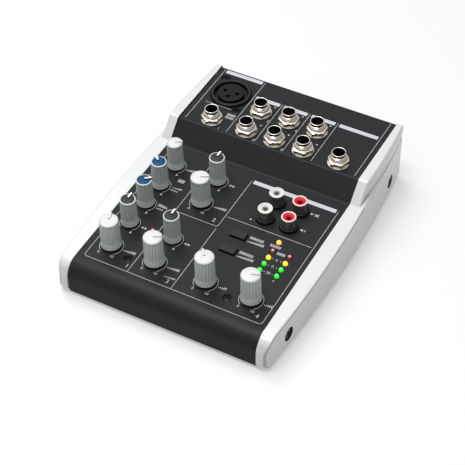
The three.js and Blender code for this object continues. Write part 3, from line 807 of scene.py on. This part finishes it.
def feet():
    for node in (name for name in frame["nodes"] if name.endswith("_foot")):
        radius = half_size(node).x
        edge = 0.0006
        dish = 0.0003
        seam = 0.0001
        hub = 0.0005
        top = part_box(node)[1].z - seam
        profile = [(hub, dish), (radius * 0.5, dish), (radius * 0.62, 0), (radius - edge - seam, 0)]
        profile += arc_points((radius - edge, edge), edge, -80, 0) + [(radius, top), (hub, top)]
        shape = Shape()
        shape.turned(profile, caps=(True, True))
        place = Matrix.Translation(middle(node).xy.to_3d())
        shape.piece(node.replace("_foot", "_rubber_foot"), [foot_rubber], [node], place)


# ---- Screws

THREAD_PITCH = 0.0006


def cross_screw(name, place, radius, rise, replaces=()):
    """A cross-recess screw: a domed head whose cross is sunk into it, and a threaded shank."""
    shank = 0.00135
    arm = radius * 0.62
    half = radius * 0.15
    cross = []
    for quarter in range(4):
        spin = Matrix.Rotation(pi / 2 * quarter, 2)
        cross += [spin @ Vector(corner) for corner in ((half, half), (half, arm), (-half, arm))]
    cross.sort(key=lambda p: atan2(p.y, p.x))

    def dome(p):
        return (p.x, p.y, rise - 0.12 * radius * (p.length / radius) ** 2)

    rim = round_hole((0, 0), radius * 0.9)
    flat, faces = pierced(rim, [cross], round_hole((0, 0), radius * 0.72))
    shape = Shape()
    shape.add([dome(p) for p in flat], faces)
    floor = [(p.x * 0.8, p.y * 0.8, rise - radius * 0.55) for p in cross]
    shape.bridge([[dome(p) for p in cross], floor], flip=True, caps=(False, True))
    edge = dome(rim[0])[2]
    neck = edge - 0.75 * radius
    head = [(radius * 0.9, edge), (radius, edge - 0.1 * radius),
            (radius, edge - 0.3 * radius), (shank * 1.1, neck)]
    for turn in range(8):
        head += [(shank, neck - THREAD_PITCH * (turn + 0.2)),
                 (shank * 0.82, neck - THREAD_PITCH * (turn + 0.7))]
    shape.bridge([circle(r, z, 32) for r, z in head], flip=True, caps=(False, True))
    shape.piece(name, [black_screw], replaces, place)


def screws():
    """Two screws in the lower deck, two in each cheek and two beside the XLR socket."""
    for side, sign in (("left", -1), ("right", 1)):
        node = f"{side}_panel_screw"
        place = on_deck(*spot(node, deck_place)) @ Matrix.Rotation(0.4, 4, "Z")
        cross_screw(f"{side}_deck_screw", place, 0.0022, -0.0002, [node])
        for end in ("front", "rear"):
            node = f"{side}_{end}_cheek_screw"
            centre = middle(node)
            centre.x += sign * half_size(node).x
            turn = Matrix.Rotation(sign * pi / 2, 4, "Y") @ Matrix.Rotation(0.2, 4, "Z")
            cross_screw(f"{side}_{end}_side_screw", Matrix.Translation(centre) @ turn, 0.0034, 0, [node])
    for number, place in enumerate(xlr_screw_spots(), 1):
        place = on_deck(*place, raised_place) @ Matrix.Rotation(0.5 * number, 4, "Z")
        cross_screw(f"xlr_screw_{number}", place, 0.0023, -0.0003)


# ---- Knobs

FLUTES = 20
FLUTE_DEPTH = 0.00058
POINTER_HALF_WIDTH = 0.0006
SHAFT_BORE = 0.0033
LARGE = SimpleNamespace(skirt=0.00595, waist=0.0056, top=0.00535, base=0.0017, rim=0.0198,
                        cap=0.0049, dome=0.0202, crest=0.02095, reach=0.0051)
SMALL = SimpleNamespace(skirt=0.0051, waist=0.00475, top=0.0045, base=0.0011, rim=0.0185,
                        cap=0.00375, dome=0.0189, crest=0.01965, reach=0.0045)
CAP_FINISHES = {
    "high": (blue_cap, pointer_white),
    "low": (blue_cap, pointer_white),
    "pan": (dark_cap, pointer_white),
    "balance": (dark_cap, pointer_white),
}


def blend(low, high, value):
    """A smooth step from 0 at low to 1 at high."""
    share = max(0.0, min(1.0, (value - low) / (high - low)))
    return share * share * (3 - 2 * share)


def grip_mesh(size):
    """A fluted grip on a smooth flared skirt, with a paler chamfered ring round its top, a painted highlight.
    """
    base, top, rim = size.base, size.top, size.rim
    edge = 0.0009
    flare = base + 0.0036
    chamfer = 0.0005
    neck = rim - chamfer
    sides = FLUTES * 8
    heights = [base + 0.0002] + [base + edge + (flare - base - edge) * i / 9 for i in range(10)]
    heights += [flare + (neck - 0.0009 - flare) * i / 8 for i in range(1, 9)]
    heights += [neck - 0.0006, neck - 0.0003, neck]

    def fluted(height):
        drop = max(0.0, (flare - height) / (flare - base - edge))
        body = size.waist + (top - size.waist) * max(0.0, (height - flare) / (rim - flare))
        body += (size.skirt - size.waist) * min(1.0, drop) ** 2
        deep = blend(flare - 0.0007, flare + 0.0002, height)
        deep *= 1 - blend(neck - 0.0007, neck - 0.0002, height)
        ring = []
        for i in range(sides):
            angle = tau * i / sides
            wave = 0.5 + 0.5 * cos(FLUTES * angle)
            ring.append(polar(body - FLUTE_DEPTH * deep * wave ** 1.3, angle, height))
        return ring

    foot = (size.skirt - 0.0003, base)
    shape = Shape()
    shape.bridge([circle(*foot, sides)] + [fluted(height) for height in heights])
    lip = [(top, neck), (top - 0.2 * chamfer, rim - 0.2 * chamfer), (top - 0.45 * chamfer, rim)]
    # The chamfered lip carries the painted highlight.
    shape.turned(lip, 1, sides)
    seat = size.cap + 0.00008
    sunk = rim - 0.0004
    shape.turned([lip[-1], (seat, rim), (seat, sunk), (SHAFT_BORE, sunk), (SHAFT_BORE, base), foot], 0, sides)
    return shape


def cap_shape(size):
    """The nearly flat cap with its pointer fin; the fin's top face is the second material."""
    cap, rim, crest = size.cap, size.rim, size.crest
    foot = rim - 0.0003
    profile = [(cap, foot), (cap, rim + 0.00005)]
    for share in (0.96, 0.88, 0.75, 0.55, 0.3, 0.07):
        profile.append((cap * share, rim + (size.dome - rim) * (1 - share ** 4) ** 0.6))
    shape = Shape()
    shape.turned(profile, sides=64, caps=(True, True))
    soft = 0.00015
    inner = 0.0004
    centre = Vector((0, (size.reach + inner) / 2, 0))

    def outline(grow, level):
        ring = box_ring(POINTER_HALF_WIDTH + grow, (size.reach - inner) / 2 + grow, 0.0002, level, 3)
        return [p + centre for p in ring]

    ridge = outline(-soft, crest)
    shape.bridge([outline(0.0002, foot + 0.0001), outline(0, crest - soft), ridge])
    shape.add(ridge, [range(len(ridge))], 1)
    return shape


def knobs():
    for body in KNOBS:
        name = body.removesuffix("_control")
        caps = next((finishes for word, finishes in CAP_FINISHES.items() if name.startswith(word)),
                    (white_cap, white_cap))
        size = LARGE if "level" in name else SMALL
        grip = [knob_grey_light if size is LARGE else knob_grey, knob_rim_painted_highlight]
        turn = -radians(sum(JOINTS[body]["range_deg"]) / 2)
        place = on_deck(*knob_spot(body)) @ Matrix.Rotation(turn, 4, "Z")
        grip_mesh(size).piece(f"{name}_grip", grip, [f"{name}_knob"], place, 50, body)
        cap_shape(size).piece(f"{name}_cap", caps, (), place, 40, body)


# ---- Buttons and lamps


def buttons():
    soft = 0.0003
    edge = (0, BUTTON_TOP - soft)
    top = [edge, (0.3 * soft, BUTTON_TOP - 0.3 * soft), (soft, BUTTON_TOP), (0.0011, BUTTON_TOP - 0.00008)]
    for name in BUTTONS:
        shape = Shape()
        # The top keeps the button's own black; the side walls below it are painted shade, darker still.
        for profile, material, caps in ((top, 0, (False, True)), ([(0, -0.004), edge], 1, (True, False))):
            rings = [
                box_ring(BUTTON_HALF_WIDTH - inset, BUTTON_HALF_LENGTH - inset, 0.0004, height)
                for inset, height in profile
            ]
            shape.bridge(rings, material, caps=caps)
        place = on_deck(*spot(f"{name}_button", deck_place))
        shape.piece(f"{name}_cap", [black_plastic, black_parts_and_painted_shade], [f"{name}_button"], place, body=name)


def lamps():
    """A domed lens for each LED, its crown a little brighter on the unlit ones, a painted highlight."""
    seat = 0.0001
    dome = [
        (LED_RADIUS * cos(a), seat + 0.9 * LED_RADIUS * sin(a))
        for a in (0, 0.3, 0.6, 0.9, 1.15, 1.35, 1.5)
    ]
    for x, v, name, lens_finish in LEDS:
        shape = Shape()
        shape.turned([(LED_RADIUS, -0.0012)] + dome[:4], sides=32, caps=(True, False))
        shape.turned(dome[3:], 1, sides=32, caps=(False, True))
        painted_crown = led_red_painted_highlight if lens_finish is led_red else lens_finish
        shape.piece(f"{name}_lens", [lens_finish, painted_crown], (), on_deck(x, v))


# ---- Sockets


def rca_sockets():
    """The housing with its four bosses, and in each a metal shell round a coloured insulator."""
    half = Vector((half_size("rca_block").x, RCA_PITCH.y / 2 + 0.007))
    centre = Vector((spot("rca_block", deck_place).x, RCA_ROW_MIDDLE))
    top = -SHEET - 0.0003
    housing = Shape()
    add_box(housing, (*(centre - half), -0.0091), (*(centre + half), top))
    boss_top = 0.0018
    collar = RCA_RING + 0.0002
    boss = [(RCA_BOSS, top)] + arc_points((RCA_BOSS - 0.0004, boss_top - 0.0004), 0.0004, 0, 90)
    boss += [(collar, boss_top), (collar, 0.0010), (collar - 0.0004, 0.0010)]
    rim = 0.0083
    soft = 0.0003
    inner = RCA_RING - 0.00045
    tube = [(RCA_RING, 0.0009), (RCA_RING - 0.0001, 0.0040), (RCA_RING, 0.0064), (RCA_RING, rim - soft)]
    mouth = arc_points((RCA_RING - soft, rim), soft, 0, 90) + arc_points((inner, rim), soft, 90, 150)
    bore = 0.0013
    funnel = bore + 0.0006
    reach = inner - 0.0002
    for side, row, place in rca_spots():
        housing.turned(boss, centre=place)
        local = on_deck(*place)
        shell = Shape()
        shell.turned(tube)
        # The shell's top lip is a painted highlight in pale cream.
        shell.turned([tube[-1]] + mouth + [(inner - soft, rim - 0.0005)], 1)
        shell.piece(f"rca_{side}_{row}_shell", [rca_shell, rca_rim_painted_highlight], (), local)
        # Each insulator's bore is painted shade, darker than its face.
        colours = [rca_red, rca_red_painted_shade] if side == "right" else [rca_white, rca_white_painted_shade]
        face = rim - (0.0005 if side == "right" else 0.0002)
        insulator = Shape()
        insulator.turned([(reach, 0.002), (reach, face), (reach - 0.0004, face + 0.0001), (funnel, face)])
        insulator.turned([(funnel, face), (bore, face - 0.0006), (bore, face - 0.005)], 1, 32)
        insulator.turned([(bore, face - 0.005), (0.0001, face - 0.005)], 1, 32, caps=(False, True))
        insulator.piece(f"rca_{side}_{row}_insulator", colours, (), local)
    housing.piece("rca_housing", [socket_black], ["rca_block"], deck_place)


NUT_CORNER = 0.0065
NUT_SIDES = 72
NUT_THICKNESS = 0.0026
WASHER = 0.0007
JACK_BORE = 0.00355
JACK_RIM = 0.0082
HOUSING_FOOT = -0.0243
NUT_TURNS = {
    "line_1_jack": 26, "line_2_jack": 2, "line_3_jack": 10, "line_4_jack": 32,
    "line_5_jack": 28, "left_output_jack": 30, "right_output_jack": 2, "phones_jack": 12,
}


def hexagon(height, share, turn):
    """The nut's outline, cut back to this share of its corners' radius, as a chamfer cuts it."""
    ring = []
    for i in range(NUT_SIDES):
        angle = tau * i / NUT_SIDES
        nearest = (angle + pi / 6) % (pi / 3) - pi / 6
        flat = cos(pi / 6) / cos(nearest)
        ring.append(polar(NUT_CORNER * min(flat, share), angle + turn, height))
    return ring


def jack_nut(name, place):
    """A hexagonal nut, chamfered at both ends, with a narrow collar on top."""
    turn = radians(NUT_TURNS[name] + 30)
    top = WASHER + NUT_THICKNESS
    bore = 0.0042
    rings = [circle(bore, WASHER, NUT_SIDES), hexagon(WASHER, 0.9, turn)]
    rings += [hexagon(WASHER + (share - 0.9) * 0.004, share, turn) for share in (0.93, 0.97, 1.01)]
    rings += [hexagon(top - (share - 0.87) * 0.0032, share, turn) for share in (1.01, 0.97, 0.93, 0.89)]
    for radius, rise in ((0.0053, 0.0), (0.0049, 0.0002), (0.0049, 0.0013), (0.0046, 0.0016), (bore, 0.0016)):
        rings.append(circle(radius, top + rise, NUT_SIDES))
    shape = Shape()
    shape.bridge(rings + [rings[0]])
    shape.piece(f"{name}_hex_nut", [nickel], [f"{name}_nut"], place, 28)


def jack_washer(name, place):
    soft = 0.0002
    seat = 0.00003
    inner = NUT_CORNER - soft
    profile = [(JACK_HOLE, seat), (inner, seat), (NUT_CORNER, soft), (NUT_CORNER, WASHER - soft)]
    profile += [(inner, WASHER), (JACK_HOLE, WASHER), (JACK_HOLE, seat)]
    shape = Shape()
    shape.turned(profile, sides=64)
    shape.piece(f"{name}_washer", [nickel], (), place, 30)


def jack_barrel(name, place):
    """A jack socket: housing under the deck, threaded bush, bright rim, and a neck and bore darkened as
    painted shade.
    """
    half = half_size(name).x
    housing_top = -0.0022
    shape = Shape()
    add_box(shape, (-half, -half, HOUSING_FOOT), (half, half, housing_top), material=1)
    crest = 0.0040
    root = crest - 0.0003
    level = housing_top
    profile = [(crest, level - 0.0002)]
    while level < JACK_RIM - 0.0024:
        profile += [(crest, level), (crest, level + 0.2 * THREAD_PITCH), (root, level + 0.5 * THREAD_PITCH)]
        level += THREAD_PITCH
    shape.turned(profile, sides=64)
    soft = 0.00022
    neck = 0.0038
    rim = 0.00415
    lip_foot = JACK_RIM - 0.00055
    # The neck under the lip is painted shade.
    shape.turned([profile[-1], (neck, lip_foot - 0.0006), (neck, lip_foot)], 1, 64)
    mouth = JACK_RIM - soft
    lip = [(neck, lip_foot), (rim, lip_foot + 0.0001)] + arc_points((rim - soft, mouth), soft, 0, 90)
    shape.turned(lip + arc_points((JACK_BORE + soft, mouth), soft, 90, 180, 3), sides=64)
    # The bore is painted shade too, near-black.
    shape.turned([(JACK_BORE, mouth), (JACK_BORE, -0.021)], 1, 64, caps=(False, True))
    shape.piece(f"{name}_socket", [nickel, black_parts_and_painted_shade], [name], place, 40)


def jacks():
    for name in JACKS:
        place = on_deck(*spot(f"{name}_nut", raised_place), raised_place)
        jack_washer(name, place)
        jack_nut(name, place)
        jack_barrel(name, place)


def xlr_socket():
    """The XLR socket: collar, deep ring groove and an insert with three contacts."""
    top = 0.0018
    soft = 0.0005
    mouth = top - soft
    groove = 0.01015
    insert = 0.0080
    floor = -0.011
    shape = Shape()
    add_box(shape, (-0.013, -0.0155, -0.0045), (0.013, 0.0155, -SHEET - 0.0003))
    collar = [(XLR_COLLAR, HOUSING_FOOT)] + arc_points((XLR_COLLAR - soft, mouth), soft, 0, 90)
    shape.turned(collar + arc_points((groove + soft, mouth), soft, 90, 180), sides=96)
    # The deep ring groove is painted shade, near-black.
    shape.turned([(groove, mouth), (groove, floor), (insert, floor), (insert, mouth)], 1, 96)
    shape.turned(arc_points((insert - soft, mouth), soft, 0, 90), 2, 96)
    pins = [round_hole(polar(0.0040, radians(degrees)).xy, 0.0013, 24) for degrees in (177, 3, 270)]
    flat, faces = pierced(round_hole((0, 0), insert - soft, 96), pins)
    shape.add([(*p, top) for p in flat], faces, 2)
    lip = top - 0.0006
    for pin in pins:
        # Below their lips the pin holes are painted shade.
        for material, high, low in ((2, top, lip), (1, lip, -0.008)):
            rings = [[(*p, z) for p in pin] for z in (high, low)]
            shape.bridge(rings, material, flip=True, caps=(False, material == 1))
    place = on_deck(*spot("xlr_socket", raised_place), raised_place)
    shape.piece("xlr_shell", [socket_black, black_parts_and_painted_shade, insert_black], ["xlr_socket"], place)


def upright(ring, y):
    """A ring drawn flat, stood up to face the back."""
    return [Vector((p.x, y, p.y)) for p in ring]


def add_rear_bore(shape, sections, material=0, caps=(True, True)):
    """Joins flat outlines, each given with its place behind the face, into a surface that faces the back."""
    shape.bridge([upright(outline, y) for outline, y in sections], material, flip=True, caps=caps)


def rear_place(node):
    """The middle of a rear socket's outer face, set in a little."""
    centre = middle(node)
    centre.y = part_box(node)[1].y - 0.0004
    return Matrix.Translation(centre) @ Matrix.Rotation(RAISED_TILT, 4, "X")


def usb_port():
    """A square USB socket: a folded steel shell round a black tongue with four contacts."""
    half = half_size("usb_socket") - Vector((0, 0, 0.0003))
    mouth = Vector((0.0042, 0, 0.0039))
    depth = 0.009
    soft = 0.0004
    shell = [
        (half, 0, 0.0012 - 2 * half.y), (half, 0, -soft), (half, -soft, 0),
        (mouth, soft, 0), (mouth, 0, -soft), (mouth, 0, -depth),
    ]
    shape = Shape()
    add_rear_bore(shape, [(box_ring(p.x + grow, p.z + grow, 0.0006, 0), y) for p, grow, y in shell])
    tongue = [(0.0028, 0.0016, -depth), (0.0028, 0.0016, -0.0018), (0.0025, 0.0013, -0.0015)]
    add_rear_bore(shape, [(box_ring(x, z, 0.0003, 0), y) for x, z, y in tongue], 1, (False, True))
    for side in (-1, 1):
        low_z, high_z = sorted((side * 0.0016, side * 0.00172))
        for x in (-0.0018, 0.0008):
            add_box(shape, (x, -0.0085, low_z), (x + 0.001, -0.0022, high_z), 0.00004, 2)
    shape.piece("usb_shell", [bright_steel, black_parts_and_painted_shade, brass], ["usb_socket"], rear_place("usb_socket"))


def power_port():
    """A low-voltage inlet: a black body with a round bore and a plated centre pin."""
    half = half_size("power_inlet") - Vector((0, 0, 0.0003))
    depth = 0.010
    soft = 0.0004
    count = 40
    sections = [
        (box_ring(half.x - inset, half.z - inset, 0.0008, 0, count // 4 - 1), y)
        for inset, y in ((0, 0.0012 - 2 * half.y), (0, -soft), (soft, 0))
    ]
    bore = ((0.0035, 0), (0.0032, -0.0003), (0.0032, -depth))
    sections += [(circle(radius, 0, count), y) for radius, y in bore]
    shape = Shape()
    add_rear_bore(shape, sections)
    pin = ((0.001, -depth), (0.001, -0.0018), (0.0007, -0.0013), (0.0003, -0.0012))
    add_rear_bore(shape, [(circle(r, 0, count), y) for r, y in pin], 1, (False, True))
    shape.piece("power_port", [black_plastic, bright_steel], ["power_inlet"], rear_place("power_inlet"))


# ---- Printing on the panel

PRINT_HEIGHT = 0.00004
PRINT_LINE = 0.00026
PRINT_ARC = 0.00024
FRAME_LEFT = -0.0541
FRAME_RIGHT = 0.0546
FRAME_FRONT = 0.0115
FRAME_BACK = 0.1037
BAR_BACK = 0.1048
BAR_DEPTH = 0.0028
DIVIDER_ONE = -0.0268
DIVIDER_TWO = 0.0002
CHANNEL_SPLIT = 0.0631
MAIN_SPLIT = 0.0723
MAIN_DIVIDER_END = 0.0615
SECTION_NUMBERS = (
    ("1", -0.0290, 0.0152), ("2", -0.0040, 0.0667), ("3", -0.0040, 0.0152), ("4", 0.0500, 0.0155),
)
METER_NUMBERS = ("20", "0", "6")
SWEEP = 142
TICK_PITCH = 0.0009
TICK_WIDTH = 0.00048


class Printing(Shape):
    """Ink on a deck, as thin raised shapes."""

    def patch(self, *corners):
        self.add([(x, y, PRINT_HEIGHT) for x, y in corners], [range(len(corners))])

    def oblong(self, left, right, front, back):
        self.patch((left, front), (right, front), (right, back), (left, back))

    def stroke(self, *points, width=PRINT_LINE):
        """A line of ink along these points."""
        points = [Vector(p) for p in points]
        runs = [(b - a).normalized() for a, b in zip(points, points[1:])]
        rings = [[], []]
        for here, before, after in zip(points, runs[:1] + runs, runs + runs[-1:]):
            mitre = Vector((-before.y - after.y, before.x + after.x))
            mitre *= width / 2 / max(0.2, 1 + before.dot(after))
            for ring, side in zip(rings, (-1, 1)):
                ring.append((*(here + side * mitre), PRINT_HEIGHT))
        self.bridge(rings, closed=False)

    def dial(self, centre, radius):
        """The arc of a knob's sweep, open to the front."""
        steps = 36
        angles = [radians(90 + SWEEP - 2 * SWEEP * i / steps) for i in range(steps + 1)]
        self.stroke(*(centre + polar(radius, a).xy for a in angles), width=PRINT_ARC)

    def dot(self, x, v, radius):
        self.patch(*round_hole((x, v), radius, 16))

    def triangle(self, x, v, reach):
        """A solid arrowhead along x, pointing right for a positive reach."""
        side = copysign(0.0009, reach)
        self.patch((x, v - side), (x + reach, v), (x, v + side))

    def bars(self, left, length, v, first=1.0, height=0.0019):
        """A row of short bars, the first this share of the last one's height, as a sign for a level."""
        count = max(2, round(length / TICK_PITCH))
        for i in range(count):
            x = left + length * i / count
            tall = height * (first + (1 - first) * i / (count - 1))
            self.oblong(x, x + TICK_WIDTH, v - height / 2, v - height / 2 + tall)

    def number(self, text, x, v, size):
        """A numeral, centred."""
        curve = bpy.data.curves.new("numeral", "FONT")
        curve.body = text
        curve.size = size
        curve.align_x = "CENTER"
        curve.align_y = "CENTER"
        holder = bpy.data.objects.new("numeral", curve)
        mesh = bpy.data.meshes.new_from_object(holder)
        points = [(p.co.x + x, p.co.y + v, PRINT_HEIGHT) for p in mesh.vertices]
        self.add(points, [tuple(f.vertices) for f in mesh.polygons])
        bpy.data.objects.remove(holder)
        bpy.data.curves.remove(curve)
        bpy.data.meshes.remove(mesh)


def corner_line(start, corner, end, radius):
    """Points from start to end round one softened corner."""
    steps = 6
    start, corner, end = Vector(start), Vector(corner), Vector(end)
    first = corner + (start - corner).normalized() * radius
    last = corner + (end - corner).normalized() * radius
    shares = [i / steps for i in range(steps + 1)]
    bend = [first * (1 - t) ** 2 + corner * 2 * t * (1 - t) + last * t ** 2 for t in shares]
    return [start, *bend, end]


def knob_print(lines, body):
    """The arc round one knob, the signs at its ends and its label."""
    name = body.removesuffix("_control")
    x, v = knob_spot(body)
    large = "level" in name
    radius = (LARGE if large else SMALL).skirt + 0.00075
    lines.dial(knob_spot(body), radius)
    label = x + radius + 0.0011
    if large:
        for text, side in (("0", -1), ("10", 1)):
            lines.number(text, x + side * 0.0042, v - 0.0070, 0.0024)
        length = 0.0079 if name == "level_2_3" else 0.0075 if x < 0 else 0.0048
        lines.bars(label, length, v + (0.0008 if name == "level_2_3" else 0.0005), 0.3)
        return
    for side in (-1, 1):
        lines.triangle(x + side * 0.0035, v - 0.0063, side * 0.0013)
    if name == "gain":
        lines.bars(label, 0.0062, v + 0.0006, 0.3, 0.0023)
    elif name in ("high", "low"):
        lines.bars(label, 0.0060, v + 0.0018, 0.3 if name == "high" else 1.7, 0.0013)
        lines.bars(label, 0.0048, v - 0.0006, 1.0, 0.0009)
    else:
        lines.triangle(label + 0.0016, v, -0.0014)
        lines.triangle(label + 0.0024, v, 0.0014)


def meter_print(lines):
    """Numbers with dashes between the meter's columns, dots below and bars above."""
    left = METER_COLUMNS["left"]
    centre = sum(METER_COLUMNS.values()) / 2
    for level, text in reversed(list(enumerate(METER_NUMBERS))):
        v = METER_ROW + LED_PITCH * level
        lines.number(text, centre, v, 0.0024)
        for side in (-1, 1):
            x = centre + side * 0.0024
            lines.oblong(x - 0.0004, x + 0.0004, v - 0.00015, v + 0.00015)
    for column in METER_COLUMNS.values():
        lines.dot(column, METER_ROW - 0.0039, 0.0004)
    lines.bars(left - 0.0033, 0.0066, 0.0642)
    lines.bars(centre - 0.0023, 0.0050, METER_ROW + 3 * LED_PITCH - 0.0002)


def lower_print():
    """The lower deck's frame and dividers, the signs round its controls, and its title bar."""
    lines = Printing()
    middle_x = (DIVIDER_ONE + DIVIDER_TWO) / 2
    for edge in (FRAME_LEFT, FRAME_RIGHT):
        lines.stroke(*corner_line((middle_x, FRAME_FRONT), (edge, FRAME_FRONT), (edge, FRAME_BACK), 0.002))
    lines.stroke((DIVIDER_ONE, FRAME_FRONT), (DIVIDER_ONE, FRAME_BACK))
    split = (DIVIDER_TWO, CHANNEL_SPLIT)
    lines.stroke(*corner_line((DIVIDER_ONE, CHANNEL_SPLIT), split, (DIVIDER_TWO, FRAME_BACK), 0.0015))
    lines.stroke((DIVIDER_TWO, FRAME_FRONT), (DIVIDER_TWO, MAIN_DIVIDER_END))
    lines.stroke((DIVIDER_TWO + 0.0016, MAIN_SPLIT), (FRAME_RIGHT - 0.0012, MAIN_SPLIT))
    for body in KNOBS:
        knob_print(lines, body)
    x, v = knob_spot("gain_control")
    lines.bars(x + 0.0070, 0.0042, v - 0.0096, 1.0, 0.0026)
    for text, x, v in SECTION_NUMBERS:
        lines.number(text, x, v, 0.0038)
    lines.bars(-0.0077, 0.0072, 0.0182, 0.3, 0.0012)
    meter_print(lines)
    for side, row, (x, v) in rca_spots():
        if side == "right":
            sign = x + 0.0062
            reach = 0.0018 if row == "out" else -0.0018
            lines.triangle(sign + max(0, -reach), v + 0.0012, reach)
            lines.bars(sign + 0.0026, 0.0025 if row == "out" else 0.0002, v + 0.0012)
        else:
            lines.dot(x - 0.0071, v - 0.0040, 0.0005)
    for name in BUTTONS:
        x, v = spot(f"{name}_button", deck_place)
        lines.bars(x + 0.0063, 0.0085, v + 0.0015)
        lines.bars(x + 0.0063, 0.0100, v - 0.0012, 0.4)
    lines.piece("lower_deck_print", [panel_print], (), deck_place)
    bar = Printing()
    bar.oblong(DIVIDER_TWO + 0.0014, FRAME_RIGHT - 0.0013, BAR_BACK - BAR_DEPTH, BAR_BACK)
    bar.piece("lower_deck_bar", [print_bar], (), deck_place)


def raised_print():
    """The raised deck's dividers, title bars, dots and socket numbers."""
    lines = Printing()
    bars = Printing()
    edge = 0.0544
    back = 0.0510
    bar_back = 0.0376
    gap = 0.0014
    columns = [-0.0272, -0.0088, 0.0093, 0.02725, edge]
    for x, front, end in ((-edge, 0.0018, back), (edge, 0.0018, back), (columns[0], 0.0017, back)):
        lines.stroke((x, front), (x, end))
    for x in columns[1:4]:
        lines.stroke((x, 0.0015), (x, bar_back))
    bars.oblong(-edge + gap, columns[0] - gap, back - BAR_DEPTH, back)
    for left, right in zip(columns, columns[1:]):
        bars.oblong(left + gap, right - gap, bar_back - BAR_DEPTH, bar_back)
        for v in (0.0333, 0.0153):
            if left > columns[0] or v > 0.02:
                lines.dot(left - 0.003, v, 0.0005)
    lines.stroke((-0.0510, 0.0198), (-0.0338, 0.0198))
    for v in (0.0153, 0.0128):
        lines.bars(-0.0338, 0.0054, v)
    for number in range(1, 6):
        x, v = spot(f"line_{number}_jack_nut", raised_place)
        lines.number(str(number), x + 0.0072, v - 0.0052, 0.0028)
    lines.piece("raised_deck_print", [panel_print], (), raised_place)
    bars.piece("raised_deck_bars", [print_bar], (), raised_place)


# ---- Inside


def ribbon_cable():
    """A folded flat cable from the main board up to the jack board, ridged by its round wires."""
    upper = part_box("jack_board")[0]
    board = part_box("main_board")
    run = [
        (board[1].y - 0.012, board[0].z - 0.0004),
        (board[1].y + 0.003, board[0].z - 0.0020),
        (upper.y + 0.004, upper.z - 0.0028),
        (upper.y + 0.012, upper.z - 0.0022),
        (upper.y + 0.016, upper.z - 0.0004),
    ]
    left = -0.030
    width = 0.020
    steps = 64
    thick = 0.0004
    rings = []
    for y, z in run:
        wires = [(left + width * i / steps, thick * abs(sin(pi * i / 4))) for i in range(steps + 1)]
        ring = [(x, y, z + ridge) for x, ridge in wires]
        rings.append(ring + [(x, y, z - ridge - 0.2 * thick) for x, ridge in wires[::-1]])
    shape = Shape()
    shape.bridge(rings, caps=(True, True))
    shape.piece("ribbon_cable", [ribbon_grey])


def carried_nodes():
    """Finishes for the CAD nodes that stay as they are."""
    finishes = {"bottom_pan": pan_steel, "main_board": board_green, "jack_board": board_green}
    for name, node in frame["nodes"].items():
        chosen = shaft_steel if name.endswith("_shaft") else finishes.get(name)
        if chosen:
            node.data.materials.clear()
            node.data.materials.append(chosen)


bpy.context.scene.view_settings.view_transform = "Standard"
add_camera()
add_surroundings()
add_floor()
add_softbox("key_light", **KEY_LIGHT)
add_softbox("top_light", **TOP_LIGHT)
for make in (top_panel, cheeks, feet, screws, knobs, buttons, lamps, rca_sockets, jacks, xlr_socket, usb_port,
             power_port, lower_print, raised_print, ribbon_cable, carried_nodes):
    make()
